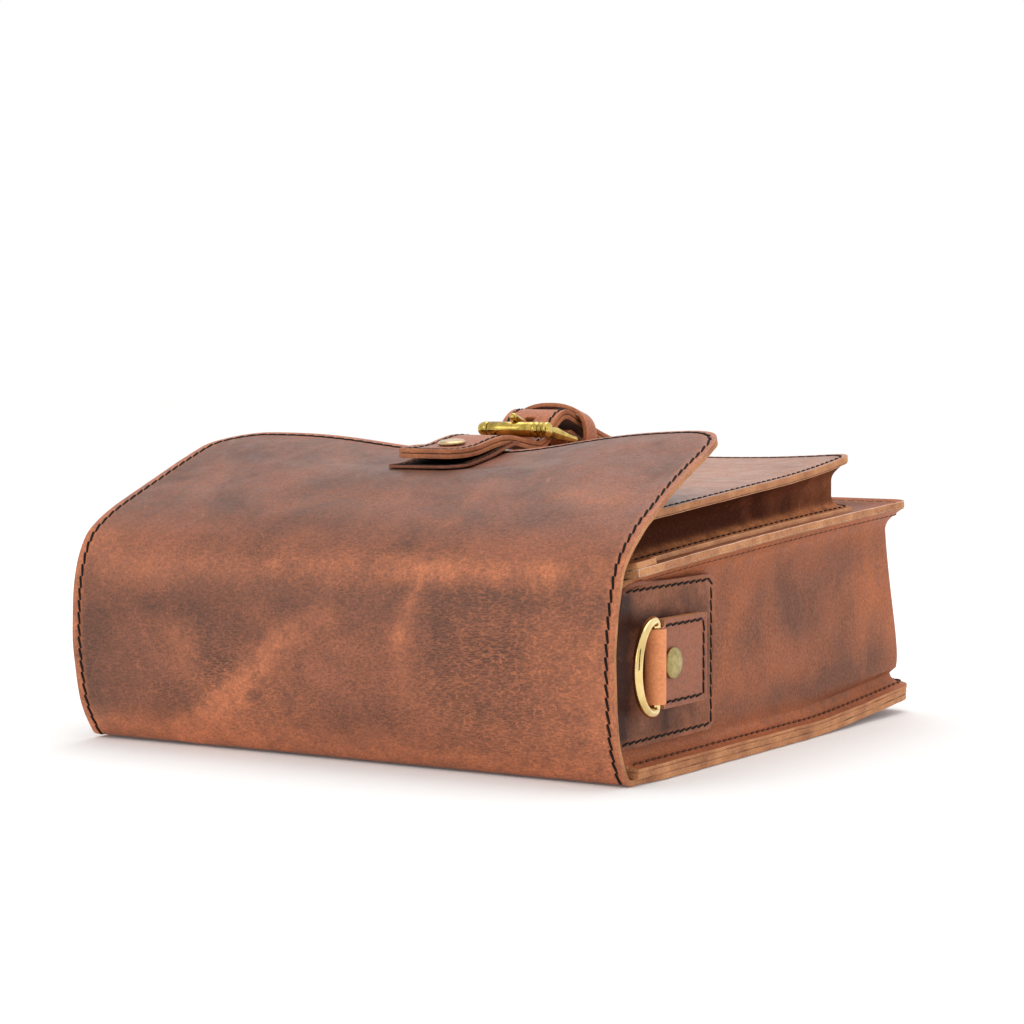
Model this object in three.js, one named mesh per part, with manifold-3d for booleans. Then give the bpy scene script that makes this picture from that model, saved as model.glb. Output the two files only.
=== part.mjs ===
// A leather flap satchel lying on its back, closed, in millimetres with +Z up.
// The bag's mouth faces -Y, its bottom faces +Y and its front faces up.
import * as THREE from 'three';
import { mergeVertices } from 'three/addons/utils/BufferGeometryUtils.js';
import Module from 'manifold-3d';

const wasm = await Module();
wasm.setup();

// Leather and seams
const LEATHER = 2.3;          // body panels, gussets and flap
const THIN = 1.6;             // sewn-on patches
const TAB_LEATHER = 1.9;      // ring tabs
const GAP = 0.3;              // clearance between pieces that lie on each other
const EDGE = 0.05;            // keeps a rounded corner from ending in a point

// Body of the bag, seen from the front
const HALF_WIDTH = 129;       // middle to the raw edge of the side seams
const MOUTH_Y = 0.5;          // top edge of the panels
const BACK_END = 249;         // bottom edge of the back panel
const FRONT_END = 245;        // bottom edge of the front panel
const CORNER = 10;            // bottom corners of the panels
const SEAM = 8;               // turned-out width of the main gusset's seams
const BASE_SEAM = 5;          // the same along the bottom of the back panel
const FOLD = 3;               // radius of the gusset where it turns out
const GUSSET_CORNER = 4;      // radius of the gusset at the bag's bottom corners
const BOW = { reach: 10, run: 40, power: 0.45 };   // the sides bow out under the flap at the mouth

// The back lies flat, then lifts towards the bottom of the bag
const LIFT_START = 150;
const LIFT = 6.3;
const LIFT_POWER = 1.3;
const BACK_RUN = 26;          // the outer back is a plain sheet from here to the bottom

// Heights of the front panel and the pocket panel from the mouth to the bottom
const FRONT = { height: 81.5, slope: 0.07622, arch: 0.0000737 };
const POCKET = { height: 97.8, slope: 0.074 };

// Front pocket
const POCKET_MOUTH = 33;
const POCKET_HALF = 117;
const POCKET_END = 212;
const POCKET_SEAM = 7;        // turned-out width under the pocket panel
const POCKET_BASE = 8;        // width of the pocket gusset's base seam
const POCKET_CORNER = 8;
const CURL = { rise: 3.3, fromX: 45, fromY: 140 };   // the pocket's bottom corners curl up

// Front top band
const BAND_END = 17;
const BAND_HALF = 128;

// Flap: one sheet with the outer back
const FLAP_HALF = 127;
const FLAP_CORNER = 22;
const FLAP_DIP = 46;          // spread of the dip that the closure pulls in
const DIP_POWER = 2.4;        // flattens the dip under the closure
const LEAN_POWER = 1.3;       // flattens the flap's sideways lean in its middle

// Each row is one section across the flap, from under the bag to its front edge:
// height and reach on the left edge, in the middle and on the right edge.
const FLAP_SECTIONS = [
  { leftY: 6, leftZ: 0, midY: 6, midZ: 0, rightY: 6, rightZ: 0 },
  { leftY: -9, leftZ: 0.6, midY: -5.7, midZ: 0.5, rightY: -2.5, rightZ: 0.4 },
  { leftY: -14, leftZ: 4.5, midY: -9.7, midZ: 4.5, rightY: -6.3, rightZ: 4.5 },
  { leftY: -20.4, leftZ: 17, midY: -15.5, midZ: 17, rightY: -11.3, rightZ: 17 },
  { leftY: -23.9, leftZ: 37.5, midY: -19.9, midZ: 37.5, rightY: -14, rightZ: 37.5 },
  { leftY: -24.25, leftZ: 53.5, midY: -21, midZ: 53.5, rightY: -13.9, rightZ: 53.5 },
  { leftY: -22.5, leftZ: 69, midY: -18.4, midZ: 69, rightY: -11.5, rightZ: 69 },
  { leftY: -16.6, leftZ: 83.6, midY: -12, midZ: 83.3, rightY: -6.4, rightZ: 83 },
  { leftY: -4.6, leftZ: 92.7, midY: 0, midZ: 94.2, rightY: 5.9, rightZ: 95.1 },
  { leftY: 12.4, leftZ: 100.4, midY: 16, midZ: 102.6, rightY: 23, rightZ: 105.5 },
  { leftY: 26, leftZ: 105.9, midY: 31, midZ: 109.8, rightY: 34.5, rightZ: 112 },
  { leftY: 38.8, leftZ: 111.1, midY: 43, midZ: 112.8, rightY: 46.8, rightZ: 117.8 },
  { leftY: 51, leftZ: 115.9, midY: 56, midZ: 113.3, rightY: 56, rightZ: 122 },
  { leftY: 63, leftZ: 120.2, midY: 69, midZ: 115.4, rightY: 64.4, rightZ: 126.4 },
  { leftY: 72.5, leftZ: 122.8, midY: 79, midZ: 117.2, rightY: 71.5, rightZ: 128.9 },
  { leftY: 80.5, leftZ: 125, midY: 88, midZ: 119.2, rightY: 78.5, rightZ: 130.3 },
];

// Side patch, ring tab, rivet and D-ring, seen from the side of the bag
const PATCH = { start: 1.5, end: 68.7, low: 13, high: 74.5, corner: 5 };
const RING = { y: 14.2, z: 43.4, wire: 1.9, bow: 17.3, corner: 2.2, tilt: 10 };
const TAB = { end: 54.5, middle: 40, wide: 17, narrow: 14.2, shoulder: 19.5 };
const RIVET = { y: 27, radius: 6.1, height: 2 };

// Closure: patch on the flap, strap, buckle, keeper and the strap that holds the buckle
const FLAP_PATCH = { half: 17.2, start: 44.3, inset: 1, corner: 5 };
const STRAP = { half: 13.2, thickness: 4.2, corner: 3, slotY: 128, slotLength: 10, slotHalf: 2.8 };
const SNAP = { y: 68.6, radius: 5.9, height: 1.8 };
const BUCKLE = { y: 117, z: 127.5, hingeY: 143, hingeZ: 122.3, half: 15.8, wire: 1.9, corner: 3.5 };
const ROLLER = { half: 12.8, radius: 3.1, collar: 3.3 };
const PRONG = { tipY: 114.6, tipZ: 133.6, root: 2.1, tip: 1.6, ring: 3.9, half: 2 };
const CHAPE = { half: 12.5, leather: 2.3, slotHalf: 4.2, slotStart: 133, slotEnd: 153 };
const KEEPER = { start: 146.3, end: 155.5, slope: -0.29 };
const SLOT_DEPTH = 30;        // cutters go right through the strap

// Middle line of the closure strap, from its snapped end to its tail
const STRAP_LINE = [
  { y: 47.2, z: 119.3 }, { y: 58, z: 119.4 }, { y: 68.6, z: 120.3 }, { y: 75, z: 121.5 },
  { y: 81, z: 122.7 }, { y: 88, z: 123.7 }, { y: 96, z: 123.5 }, { y: 105, z: 122.5 },
  { y: 113, z: 121.6 }, { y: 118.5, z: 121.5 }, { y: 123, z: 123.3 }, { y: 127, z: 126.9 },
  { y: 131, z: 130.7 }, { y: 135.5, z: 133.1 }, { y: 140, z: 133.2 }, { y: 146, z: 131 },
  { y: 152, z: 128.8 },
  { y: 160, z: 126 }, { y: 170, z: 122.9 }, { y: 178, z: 120.6 },
];

// Middle lines of the holding strap under and over the hinge bar's fold. Rows without a height
// lie on the pocket panel, or on the strap's own lower end.
const CHAPE_UNDER = [
  { y: 200 }, { y: 191 }, { y: 182 }, { y: 170, z: 113.6 }, { y: 160, z: 115.7 }, { y: 150, z: 118.2 },
];
const CHAPE_OVER = [
  { y: 150, z: 122.9 }, { y: 160, z: 118.9 }, { y: 170, z: 116.3 }, { y: 182 }, { y: 189 }, { y: 195 },
];

// Outline of the keeper's middle line at its front edge, right half from bottom to top
const KEEPER_LINE = [
  { x: 0, z: 115.4 }, { x: 11.5, z: 115.5 }, { x: 15.8, z: 118.5 }, { x: 17.5, z: 124 },
  { x: 16.8, z: 130.2 }, { x: 13.6, z: 134.5 }, { x: 7.2, z: 136.8 }, { x: 0, z: 137.4 },
];

// Numbers of facets
const FLAP_COLUMNS = 12;
const FLAP_STEPS = 2;         // between two sections of the flap
const BACK_STEPS = 7;
const PANEL_STEPS = 12;
const PANEL_COLUMNS = 8;
const PATCH_ROWS = 8;
const PATCH_COLUMNS = 6;
const SIDE_STATIONS = 6;
const BASE_STATIONS = 8;
const CORNER_STATIONS = 4;
const FOLD_STEPS = 3;
const WALL_STEPS = 6;
const WIRE_SIDES = 10;
const ROUND_SIDES = 16;
const KEEPER_STEPS = 28;

const clamp01 = (value) => Math.min(1, Math.max(0, value));
const mix = (a, b, t) => a + (b - a) * t;
const smooth = (t) => clamp01(t) ** 2 * (3 - 2 * clamp01(t));
const V = (x, y, z) => new THREE.Vector3(x, y, z);
const count = (n) => [...Array(n).keys()];

// Heights of the body's layers at a distance y from the mouth and x from the middle
const backLow = (y) => (y > LIFT_START
  ? LIFT * ((y - LIFT_START) / (BACK_END - LIFT_START)) ** LIFT_POWER : 0);
const frontTop = (y) => FRONT.height + FRONT.slope * y - FRONT.arch * y * y;
const pocketCurl = (x, y) => CURL.rise
  * clamp01((Math.abs(x) - CURL.fromX) / (POCKET_HALF - CURL.fromX)) ** 2
  * clamp01((y - CURL.fromY) / (POCKET_END - CURL.fromY)) ** 2;
const pocketTop = (y, x = 0) => POCKET.height + POCKET.slope * y + pocketCurl(x, y);
const backSeamTop = (y) => backLow(y) + 3 * LEATHER + 2 * GAP;
const frontSeamLow = (y) => frontTop(y) - 2 * LEATHER - GAP;
const pocketBaseTop = (y) => frontTop(y) + GAP + LEATHER;
const pocketSeamLow = (y, x) => pocketTop(y, x) - 2 * LEATHER - GAP;

// One closed body from points and triangles, with its faces turned outwards.
function body(points, triangles) {
  let volume = 0;
  for (const [a, b, c] of triangles) {
    volume += points[a].dot(points[b].clone().cross(points[c]));
  }
  const index = triangles.flatMap(([a, b, c]) => (volume > 0 ? [a, b, c] : [a, c, b]));
  const geometry = new THREE.BufferGeometry();
  geometry.setAttribute('position', new THREE.Float32BufferAttribute(
    points.flatMap((p) => [p.x, p.y, p.z]), 3));
  geometry.setIndex(index);
  return geometry;
}

const quad = (a, b, c, d) => [[a, b, c], [a, c, d]];

// A sheet with thickness: two grids of points, joined along their four borders.
function sheet(outer, inner) {
  const rows = outer.length;
  const columns = outer[0].length;
  const points = [...outer.flat(), ...inner.flat()];
  const o = (i, j) => i * columns + j;
  const n = (i, j) => rows * columns + i * columns + j;
  const triangles = [];
  for (let i = 0; i + 1 < rows; i += 1) {
    for (let j = 0; j + 1 < columns; j += 1) {
      triangles.push(...quad(o(i, j), o(i, j + 1), o(i + 1, j + 1), o(i + 1, j)));
      triangles.push(...quad(n(i, j), n(i + 1, j), n(i + 1, j + 1), n(i, j + 1)));
    }
    triangles.push(...quad(o(i, 0), o(i + 1, 0), n(i + 1, 0), n(i, 0)));
    const e = columns - 1;
    triangles.push(...quad(o(i + 1, e), o(i, e), n(i, e), n(i + 1, e)));
  }
  for (let j = 0; j + 1 < columns; j += 1) {
    const e = rows - 1;
    triangles.push(...quad(o(0, j + 1), o(0, j), n(0, j), n(0, j + 1)));
    triangles.push(...quad(o(e, j), o(e, j + 1), n(e, j + 1), n(e, j)));
  }
  return body(points, triangles);
}

// A closed ring of cross-sections, each a closed loop of the same number of points.
function loop(sections) {
  const rows = sections.length;
  const columns = sections[0].length;
  const at = (i, j) => (i % rows) * columns + (j % columns);
  const triangles = [];
  for (let i = 0; i < rows; i += 1) {
    for (let j = 0; j < columns; j += 1) {
      triangles.push(...quad(at(i, j), at(i, j + 1), at(i + 1, j + 1), at(i + 1, j)));
    }
  }
  return body(sections.flat(), triangles);
}

// A round bar along open middle points, with a radius for each point and flat ends.
function bar(centres, radii, sides) {
  const curve = new THREE.CatmullRomCurve3(centres);
  const points = [];
  centres.forEach((centre, i) => {
    const along = curve.getTangent(i / (centres.length - 1));
    const across = V(1, 0, 0);
    const up = along.clone().cross(across).normalize();
    for (let k = 0; k < sides; k += 1) {
      const turn = (2 * Math.PI * k) / sides;
      points.push(centre.clone().addScaledVector(across, radii[i] * Math.cos(turn))
        .addScaledVector(up, radii[i] * Math.sin(turn)));
    }
  });
  const triangles = [];
  const at = (i, k) => i * sides + (k % sides);
  for (let i = 0; i + 1 < centres.length; i += 1) {
    for (let k = 0; k < sides; k += 1) {
      triangles.push(...quad(at(i, k), at(i, k + 1), at(i + 1, k + 1), at(i + 1, k)));
    }
  }
  const last = centres.length - 1;
  for (let k = 1; k + 1 < sides; k += 1) {
    triangles.push([at(0, 0), at(0, k + 1), at(0, k)]);
    triangles.push([at(last, 0), at(last, k), at(last, k + 1)]);
  }
  return body(points, triangles);
}

// Cutting and joining of closed bodies
function toManifold(geometry) {
  const bare = geometry.clone();
  bare.deleteAttribute('normal');
  bare.deleteAttribute('uv');
  const merged = mergeVertices(bare, 1e-4);
  return new wasm.Manifold(new wasm.Mesh({
    numProp: 3,
    vertProperties: new Float32Array(merged.attributes.position.array),
    triVerts: new Uint32Array(merged.index.array),
  }));
}

function fromManifold(manifold) {
  const mesh = manifold.getMesh();
  const geometry = new THREE.BufferGeometry();
  geometry.setAttribute('position', new THREE.Float32BufferAttribute(mesh.vertProperties, 3));
  geometry.setIndex([...mesh.triVerts]);
  return geometry;
}

const cut = (a, b) => fromManifold(toManifold(a).subtract(toManifold(b)));
const join = (a, b) => fromManifold(toManifold(a).add(toManifold(b)));

// Half width of a sheet at y, with its corners rounded towards an end edge.
function halfAt(y, half, end, corner) {
  const into = Math.max(0, Math.abs(end - y) < corner ? corner - Math.abs(end - y) : 0);
  return half - corner + Math.sqrt(Math.max(0, corner * corner - into * into));
}

// Distances along a sheet: even steps, then close ones round its end corners.
function stationsTo(start, end, corner, steps) {
  const stops = [];
  for (let i = 0; i <= steps; i += 1) stops.push(mix(start, end - corner, i / steps));
  for (let i = 1; i <= CORNER_STATIONS; i += 1) {
    const turn = (0.46 * Math.PI * i) / CORNER_STATIONS;
    stops.push(end - corner + corner * Math.sin(turn) / Math.sin(0.46 * Math.PI));
  }
  return stops;
}

// A flat-lying panel with two rounded end corners, between two heights.
function panel({ half, start, end, corner, low, high, columns = 1 }) {
  const stops = stationsTo(start, end, corner, PANEL_STEPS);
  const side = (height) => stops.map((y) => {
    const reach = halfAt(y, half, end + EDGE, corner);
    return count(columns + 1).map((j) => {
      const x = mix(-reach, reach, j / columns);
      return V(x, y, height(y, x));
    });
  });
  return sheet(side(high), side(low));
}

// Points round three sides of a rounded outline, open towards the mouth.
function openOutline(half, start, end, corner) {
  const points = [];
  for (let i = 0; i < SIDE_STATIONS; i += 1) {
    points.push(new THREE.Vector2(half, mix(start, end - corner, i / SIDE_STATIONS)));
  }
  for (let i = 0; i <= CORNER_STATIONS; i += 1) {
    const turn = (Math.PI / 2) * (i / CORNER_STATIONS);
    points.push(new THREE.Vector2(half - corner + corner * Math.cos(turn),
      end - corner + corner * Math.sin(turn)));
  }
  for (let i = 1; i < BASE_STATIONS / 2; i += 1) {
    points.push(new THREE.Vector2((half - corner) * (1 - (2 * i) / BASE_STATIONS), end));
  }
  const mirrored = points.map((p) => new THREE.Vector2(-p.x, p.y)).reverse();
  return [...points, new THREE.Vector2(0, end), ...mirrored];
}

// How far the bag's sides reach forward of the mouth, at a share of the way between the seams.
const mouthBow = (y, share) => BOW.reach * Math.sin(Math.PI * clamp01(share)) ** BOW.power
  * clamp01(1 - (y - MOUTH_Y) / BOW.run);

// How far the main gusset swells between its seams at a distance y from the mouth.
const gussetSwell = (y) => 1 + 3 * smooth((y - 75) / 150);
const pocketSwell = () => 0.6;

// Cross-section of a gusset: seam turned out, wall, seam turned out. lift moves it to the
// hidden side of the leather.
function gussetProfile(height, reachLow, reachHigh, swell, lift) {
  const rows = [{ out: reachLow, up: -lift }];
  const turnRadius = FOLD + lift;
  for (let i = 0; i <= FOLD_STEPS; i += 1) {
    const turn = Math.PI * (1.5 - (0.5 * i) / FOLD_STEPS);
    rows.push({ out: FOLD + turnRadius * Math.cos(turn), up: FOLD + turnRadius * Math.sin(turn) });
  }
  for (let i = 1; i < WALL_STEPS; i += 1) {
    const up = mix(FOLD, height - FOLD, i / WALL_STEPS);
    rows.push({ out: swell * Math.sin((Math.PI * i) / WALL_STEPS) - lift, up });
  }
  for (let i = 0; i <= FOLD_STEPS; i += 1) {
    const turn = Math.PI * (1 - (0.5 * i) / FOLD_STEPS);
    rows.push({ out: FOLD + turnRadius * Math.cos(turn),
      up: height - FOLD + turnRadius * Math.sin(turn) });
  }
  rows.push({ out: reachHigh, up: height + lift });
  return rows;
}

// A gusset swept round three sides, from its lower seam to its upper one.
function gusset({ wall, low, high, lowHeight, highHeight, swell, bow = () => 0 }) {
  const wallPoints = openOutline(wall.half, wall.start, wall.end, wall.corner);
  const lowPoints = openOutline(low.half, wall.start, low.end, low.corner);
  const highPoints = openOutline(high.half, wall.start, high.end, high.corner);
  const side = (lift) => wallPoints.map((foot, s) => {
    const head = foot.clone();
    head.y += wall.lean * smooth((foot.y - wall.start) / (wall.end - wall.start));
    const outLow = lowPoints[s].clone().sub(foot);
    const outHigh = highPoints[s].clone().sub(head);
    const height = highHeight(foot.y, foot.x) - lowHeight(foot.y, foot.x);
    const rows = gussetProfile(height, outLow.length(), outHigh.length(), swell(foot.y), lift);
    outLow.normalize();
    outHigh.normalize();
    return rows.map(({ out, up }) => {
      const t = clamp01(up / height);
      const way = outLow.clone().lerp(outHigh, t).normalize();
      const spot = foot.clone().lerp(head, t).addScaledVector(way, out);
      const foundation = lowHeight(spot.y, spot.x);
      const stretch = highHeight(spot.y, spot.x) - foundation - height;
      return V(spot.x, spot.y - bow(foot.y, t), foundation + up + stretch * t);
    });
  });
  return sheet(side(0), side(LEATHER));
}

// The flap's outer face: a grid of sections, spread across the bag by spread from -1 to 1.
const flapCurve = (side) => new THREE.CatmullRomCurve3(
  FLAP_SECTIONS.map((row) => V(0, row[`${side}Y`], row[`${side}Z`])), false, 'catmullrom', 0.5);
const flapLeft = flapCurve('left');
const flapMiddle = flapCurve('mid');
const flapRight = flapCurve('right');

function flapPoint(t, x) {
  const left = flapLeft.getPoint(t);
  const middle = flapMiddle.getPoint(t);
  const right = flapRight.getPoint(t);
  const across = (1 + Math.sign(x) * Math.abs(x / FLAP_HALF) ** LEAN_POWER) / 2;
  const bow = 1 - (x / FLAP_HALF) ** 2;
  const dip = Math.exp(-0.5 * Math.abs(x / FLAP_DIP) ** DIP_POWER);
  const y = mix(left.y, right.y, across) + (middle.y - (left.y + right.y) / 2) * bow;
  const z = mix(left.z, right.z, across) + (middle.z - (left.z + right.z) / 2) * dip;
  return V(x, y, Math.max(0, z));
}

// Direction out of the flap's outer face
function flapNormal(t, x) {
  const step = 0.002;
  const along = flapPoint(Math.min(1, t + step), x).sub(flapPoint(Math.max(0, t - step), x));
  const across = flapPoint(t, x + 1).sub(flapPoint(t, x - 1));
  return across.cross(along).normalize();
}

function flap() {
  const outer = [];
  const inner = [];
  const spread = (half, j) => mix(-half, half, j / FLAP_COLUMNS);
  const columns = count(FLAP_COLUMNS + 1);
  const backStops = stationsTo(BACK_RUN, BACK_END, CORNER, BACK_STEPS).reverse();
  for (const y of backStops) {
    const half = halfAt(y, HALF_WIDTH, BACK_END + EDGE, CORNER);
    outer.push(columns.map((j) => V(spread(half, j), y, backLow(y))));
    inner.push(columns.map((j) => V(spread(half, j), y, backLow(y) + LEATHER)));
  }
  const rows = FLAP_SECTIONS.length - 1;
  const cornerStart = 1 - 2.3 / rows;
  const steps = [];
  for (let i = 0; i <= rows * FLAP_STEPS; i += 1) {
    const t = i / (rows * FLAP_STEPS);
    if (t < cornerStart) steps.push(t);
  }
  for (let i = 0; i <= CORNER_STATIONS; i += 1) {
    steps.push(mix(cornerStart, 1, Math.sin((Math.PI / 2) * (i / CORNER_STATIONS))));
  }
  for (const t of steps) {
    const fromFront = flapLeft.getPoint(1).distanceTo(flapLeft.getPoint(t));
    const half = halfAt(fromFront, FLAP_HALF, -EDGE, FLAP_CORNER);
    outer.push(columns.map((j) => flapPoint(t, spread(half, j))));
    inner.push(columns.map((j) => {
      const x = spread(half, j);
      const point = flapPoint(t, x).addScaledVector(flapNormal(t, x), -LEATHER);
      return V(x, point.y, point.z);
    }));
  }
  return sheet(outer, inner);
}

// Place on the flap for a distance y from the mouth, in the middle of the bag.
function flapParameter(y) {
  let low = 0.5;
  let high = 1;
  for (let i = 0; i < 40; i += 1) {
    const middle = (low + high) / 2;
    if (flapPoint(middle, 0).y < y) low = middle;
    else high = middle;
  }
  return low;
}

function flapPatch() {
  const start = flapParameter(FLAP_PATCH.start);
  const end = flapParameter(FLAP_SECTIONS.at(-1).midY - FLAP_PATCH.inset);
  const side = (rise) => count(PATCH_ROWS + 1).map((i) => {
    const t = mix(start, end, (i / PATCH_ROWS) ** 1.6);
    const fromStart = flapPoint(t, 0).y - FLAP_PATCH.start;
    const half = halfAt(fromStart, FLAP_PATCH.half, -EDGE, FLAP_PATCH.corner);
    return count(PATCH_COLUMNS + 1).map((j) => {
      const x = mix(-half, half, j / PATCH_COLUMNS);
      const point = flapPoint(t, x).addScaledVector(flapNormal(t, x), rise);
      return V(x, point.y, point.z);
    });
  });
  return sheet(side(GAP + THIN), side(GAP));
}

// A strip of leather of one thickness that follows a middle line in a plane. place turns a
// place in that plane and a distance across it into a point.
function strip(line, thickness, halfOf, place) {
  const side = (sign) => line.map((p, i) => {
    const before = line[Math.max(0, i - 1)];
    const after = line[Math.min(line.length - 1, i + 1)];
    const along = after.clone().sub(before).normalize();
    const spot = p.clone().add(new THREE.Vector2(-along.y, along.x).multiplyScalar(sign * thickness / 2));
    const half = halfOf(p, i);
    return [place(spot, -half), place(spot, half)];
  });
  return sheet(side(1), side(-1));
}

const smoothLine = (rows, count) => new THREE.SplineCurve(rows).getPoints(count);
const arc = (centre, radius, from, to, steps) => count(steps + 1).map((i) => {
  const turn = THREE.MathUtils.degToRad(mix(from, to, i / steps));
  return new THREE.Vector2(centre.x + radius * Math.cos(turn), centre.y + radius * Math.sin(turn));
});

// Side pieces are built on the right side and mirrored for the left one.
const WALL_X = HALF_WIDTH - SEAM;
const patchFace = WALL_X + gussetSwell(0) + GAP;
const tabFace = patchFace + THIN + GAP;
const ringX = tabFace + TAB_LEATHER + GAP + RING.wire;
const tabTop = tabFace + 2 * TAB_LEATHER + GAP;

function sidePatch(mirror) {
  const side = (rise) => count(PATCH_ROWS + 1).map((i) => {
    const y = mix(PATCH.start, PATCH.end, 1 - (1 - i / PATCH_ROWS) ** 1.6);
    const half = halfAt(y, (PATCH.high - PATCH.low) / 2, PATCH.end + EDGE, PATCH.corner);
    return count(PATCH_COLUMNS + 1).map((j) => {
      const z = (PATCH.high + PATCH.low) / 2 + mix(-half, half, j / PATCH_COLUMNS);
      const up = z - backSeamTop(y);
      const height = frontSeamLow(y) - backSeamTop(y);
      const share = clamp01((up - FOLD) / (height - 2 * FOLD));
      const out = gussetSwell(y) * Math.sin(Math.PI * share);
      return V(mirror * (WALL_X + out + GAP + rise), y - mouthBow(y, up / height), z);
    });
  });
  return sheet(side(THIN), side(0));
}

function ringTab(mirror) {
  const low = tabFace + TAB_LEATHER / 2;
  const high = tabTop - TAB_LEATHER / 2;
  const roll = RING.wire + GAP + TAB_LEATHER / 2;
  const P = (y, x) => new THREE.Vector2(y, x);
  const line = [
    P(TAB.end, low), P(TAB.middle, low), P(TAB.shoulder + 2, low), P(TAB.shoulder, low),
    ...arc(P(RING.y, ringX), roll, 270, 25, 14),
    ...smoothLine([P(RING.y + 3.5, ringX + 0.4), P(RING.y + 4.4, high + 0.35), P(RING.y + 6, high)], 4),
    P(TAB.shoulder + 2.5, high), P(TAB.middle, high), P(TAB.end, high),
  ];
  const halfOf = (p) => (p.x > TAB.shoulder + 1 ? TAB.wide : TAB.narrow);
  return strip(line, TAB_LEATHER, halfOf, (p, w) => V(mirror * p.y, p.x, RING.z + w));
}

// Round bar sections along a closed middle line in a plane
function wireLoop(middle, radius, sides, across) {
  const total = middle.length;
  return loop(middle.map((centre, i) => {
    const along = middle[(i + 1) % total].clone().sub(middle[(i + total - 1) % total]).normalize();
    const inward = along.clone().cross(across).normalize();
    return count(sides).map((k) => {
      const turn = (2 * Math.PI * k) / sides;
      return centre.clone().addScaledVector(inward, radius * Math.cos(turn))
        .addScaledVector(across, radius * Math.sin(turn));
    });
  }));
}

// D-ring: a straight bar in the tab's loop and a half-round bow
function dRing(mirror) {
  const tilt = THREE.MathUtils.degToRad(RING.tilt);
  const out = V(mirror * Math.sin(tilt), -Math.cos(tilt), 0);
  const up = V(0, 0, 1);
  const pivot = V(mirror * ringX, RING.y, RING.z);
  const { bow, corner } = RING;
  const flat = [
    ...arc(new THREE.Vector2(corner, bow - corner), corner, 180, 120, 2),
    ...arc(new THREE.Vector2(corner, 0), bow, 90, -90, 18),
    ...arc(new THREE.Vector2(corner, corner - bow), corner, 240, 180, 2),
  ];
  for (const share of [-0.6, -0.2, 0.2, 0.6]) {
    flat.push(new THREE.Vector2(0, share * (bow - corner)));
  }
  const middle = flat.map((p) => pivot.clone().addScaledVector(out, p.x).addScaledVector(up, p.y));
  return wireLoop(middle, RING.wire, WIRE_SIDES, out.clone().cross(up).normalize());
}

// Low domed cap on a base, turned about its own axis
function domedCap(radius, height) {
  const profile = [
    new THREE.Vector2(0, 0), new THREE.Vector2(radius * 0.96, 0), new THREE.Vector2(radius, 0.3 * height),
    new THREE.Vector2(radius * 0.9, 0.62 * height), new THREE.Vector2(radius * 0.6, 0.88 * height),
    new THREE.Vector2(radius * 0.3, 0.97 * height), new THREE.Vector2(0, height),
  ];
  return new THREE.LatheGeometry(profile, ROUND_SIDES);
}

const strapCurve = smoothLine(STRAP_LINE.map((p) => new THREE.Vector2(p.y, p.z)), 44);

function closureStrap() {
  const start = STRAP_LINE[0].y;
  const rounded = [];
  for (const share of [0.05, 0.3, 0.6]) {
    rounded.push(new THREE.Vector2(start + share * STRAP.corner, STRAP_LINE[0].z));
  }
  const line = [strapCurve[0], ...rounded, ...strapCurve.filter((p) => p.x > start + STRAP.corner)];
  const halfOf = (p) => halfAt(p.x, STRAP.half, start - EDGE, STRAP.corner);
  const whole = strip(line, STRAP.thickness, halfOf, (p, w) => V(w, p.x, p.y));
  const slot = new THREE.BoxGeometry(2 * STRAP.slotHalf, STRAP.slotLength, SLOT_DEPTH);
  slot.translate(0, STRAP.slotY, BUCKLE.z);
  return cut(whole, slot);
}

// Buckle frame: a rounded rectangle of round wire, tilted down towards its hinge bar
function buckleFrame() {
  const length = Math.hypot(BUCKLE.hingeY - BUCKLE.y, BUCKLE.hingeZ - BUCKLE.z);
  const along = V(0, (BUCKLE.hingeY - BUCKLE.y) / length, (BUCKLE.hingeZ - BUCKLE.z) / length);
  const { half, corner } = BUCKLE;
  const C = (x, y) => new THREE.Vector2(x, y);
  const flat = [
    ...arc(C(half - corner, corner), corner, -90, 0, 4),
    C(half, length * 0.35), C(half, length * 0.65),
    ...arc(C(half - corner, length - corner), corner, 0, 90, 4),
    C(half / 4, length), C(-half / 4, length),
    ...arc(C(corner - half, length - corner), corner, 90, 180, 4),
    C(-half, length * 0.65), C(-half, length * 0.35),
    ...arc(C(corner - half, corner), corner, 180, 270, 4),
    C(-half / 4, 0), C(half / 4, 0),
  ];
  const origin = V(0, BUCKLE.y, BUCKLE.z);
  const middle = flat.map((p) => origin.clone().add(V(p.x, 0, 0)).addScaledVector(along, p.y));
  return wireLoop(middle, BUCKLE.wire, WIRE_SIDES, V(1, 0, 0).cross(along).normalize());
}

// Roller: a tube on the buckle's front bar with a collar at each end
function buckleRoller() {
  const inside = BUCKLE.wire + GAP;
  const { half, radius, collar } = ROLLER;
  const rows = [
    [inside, -half], [collar, -half], [collar, 1.3 - half], [radius - 0.4, 1.6 - half],
    [radius, 2.1 - half], [radius, half - 2.1], [radius - 0.4, half - 1.6], [collar, half - 1.3],
    [collar, half], [inside, half], [inside, -half],
  ];
  const tube = new THREE.LatheGeometry(rows.map(([r, x]) => new THREE.Vector2(r, x)), 16);
  return tube.rotateZ(-Math.PI / 2);
}

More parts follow.
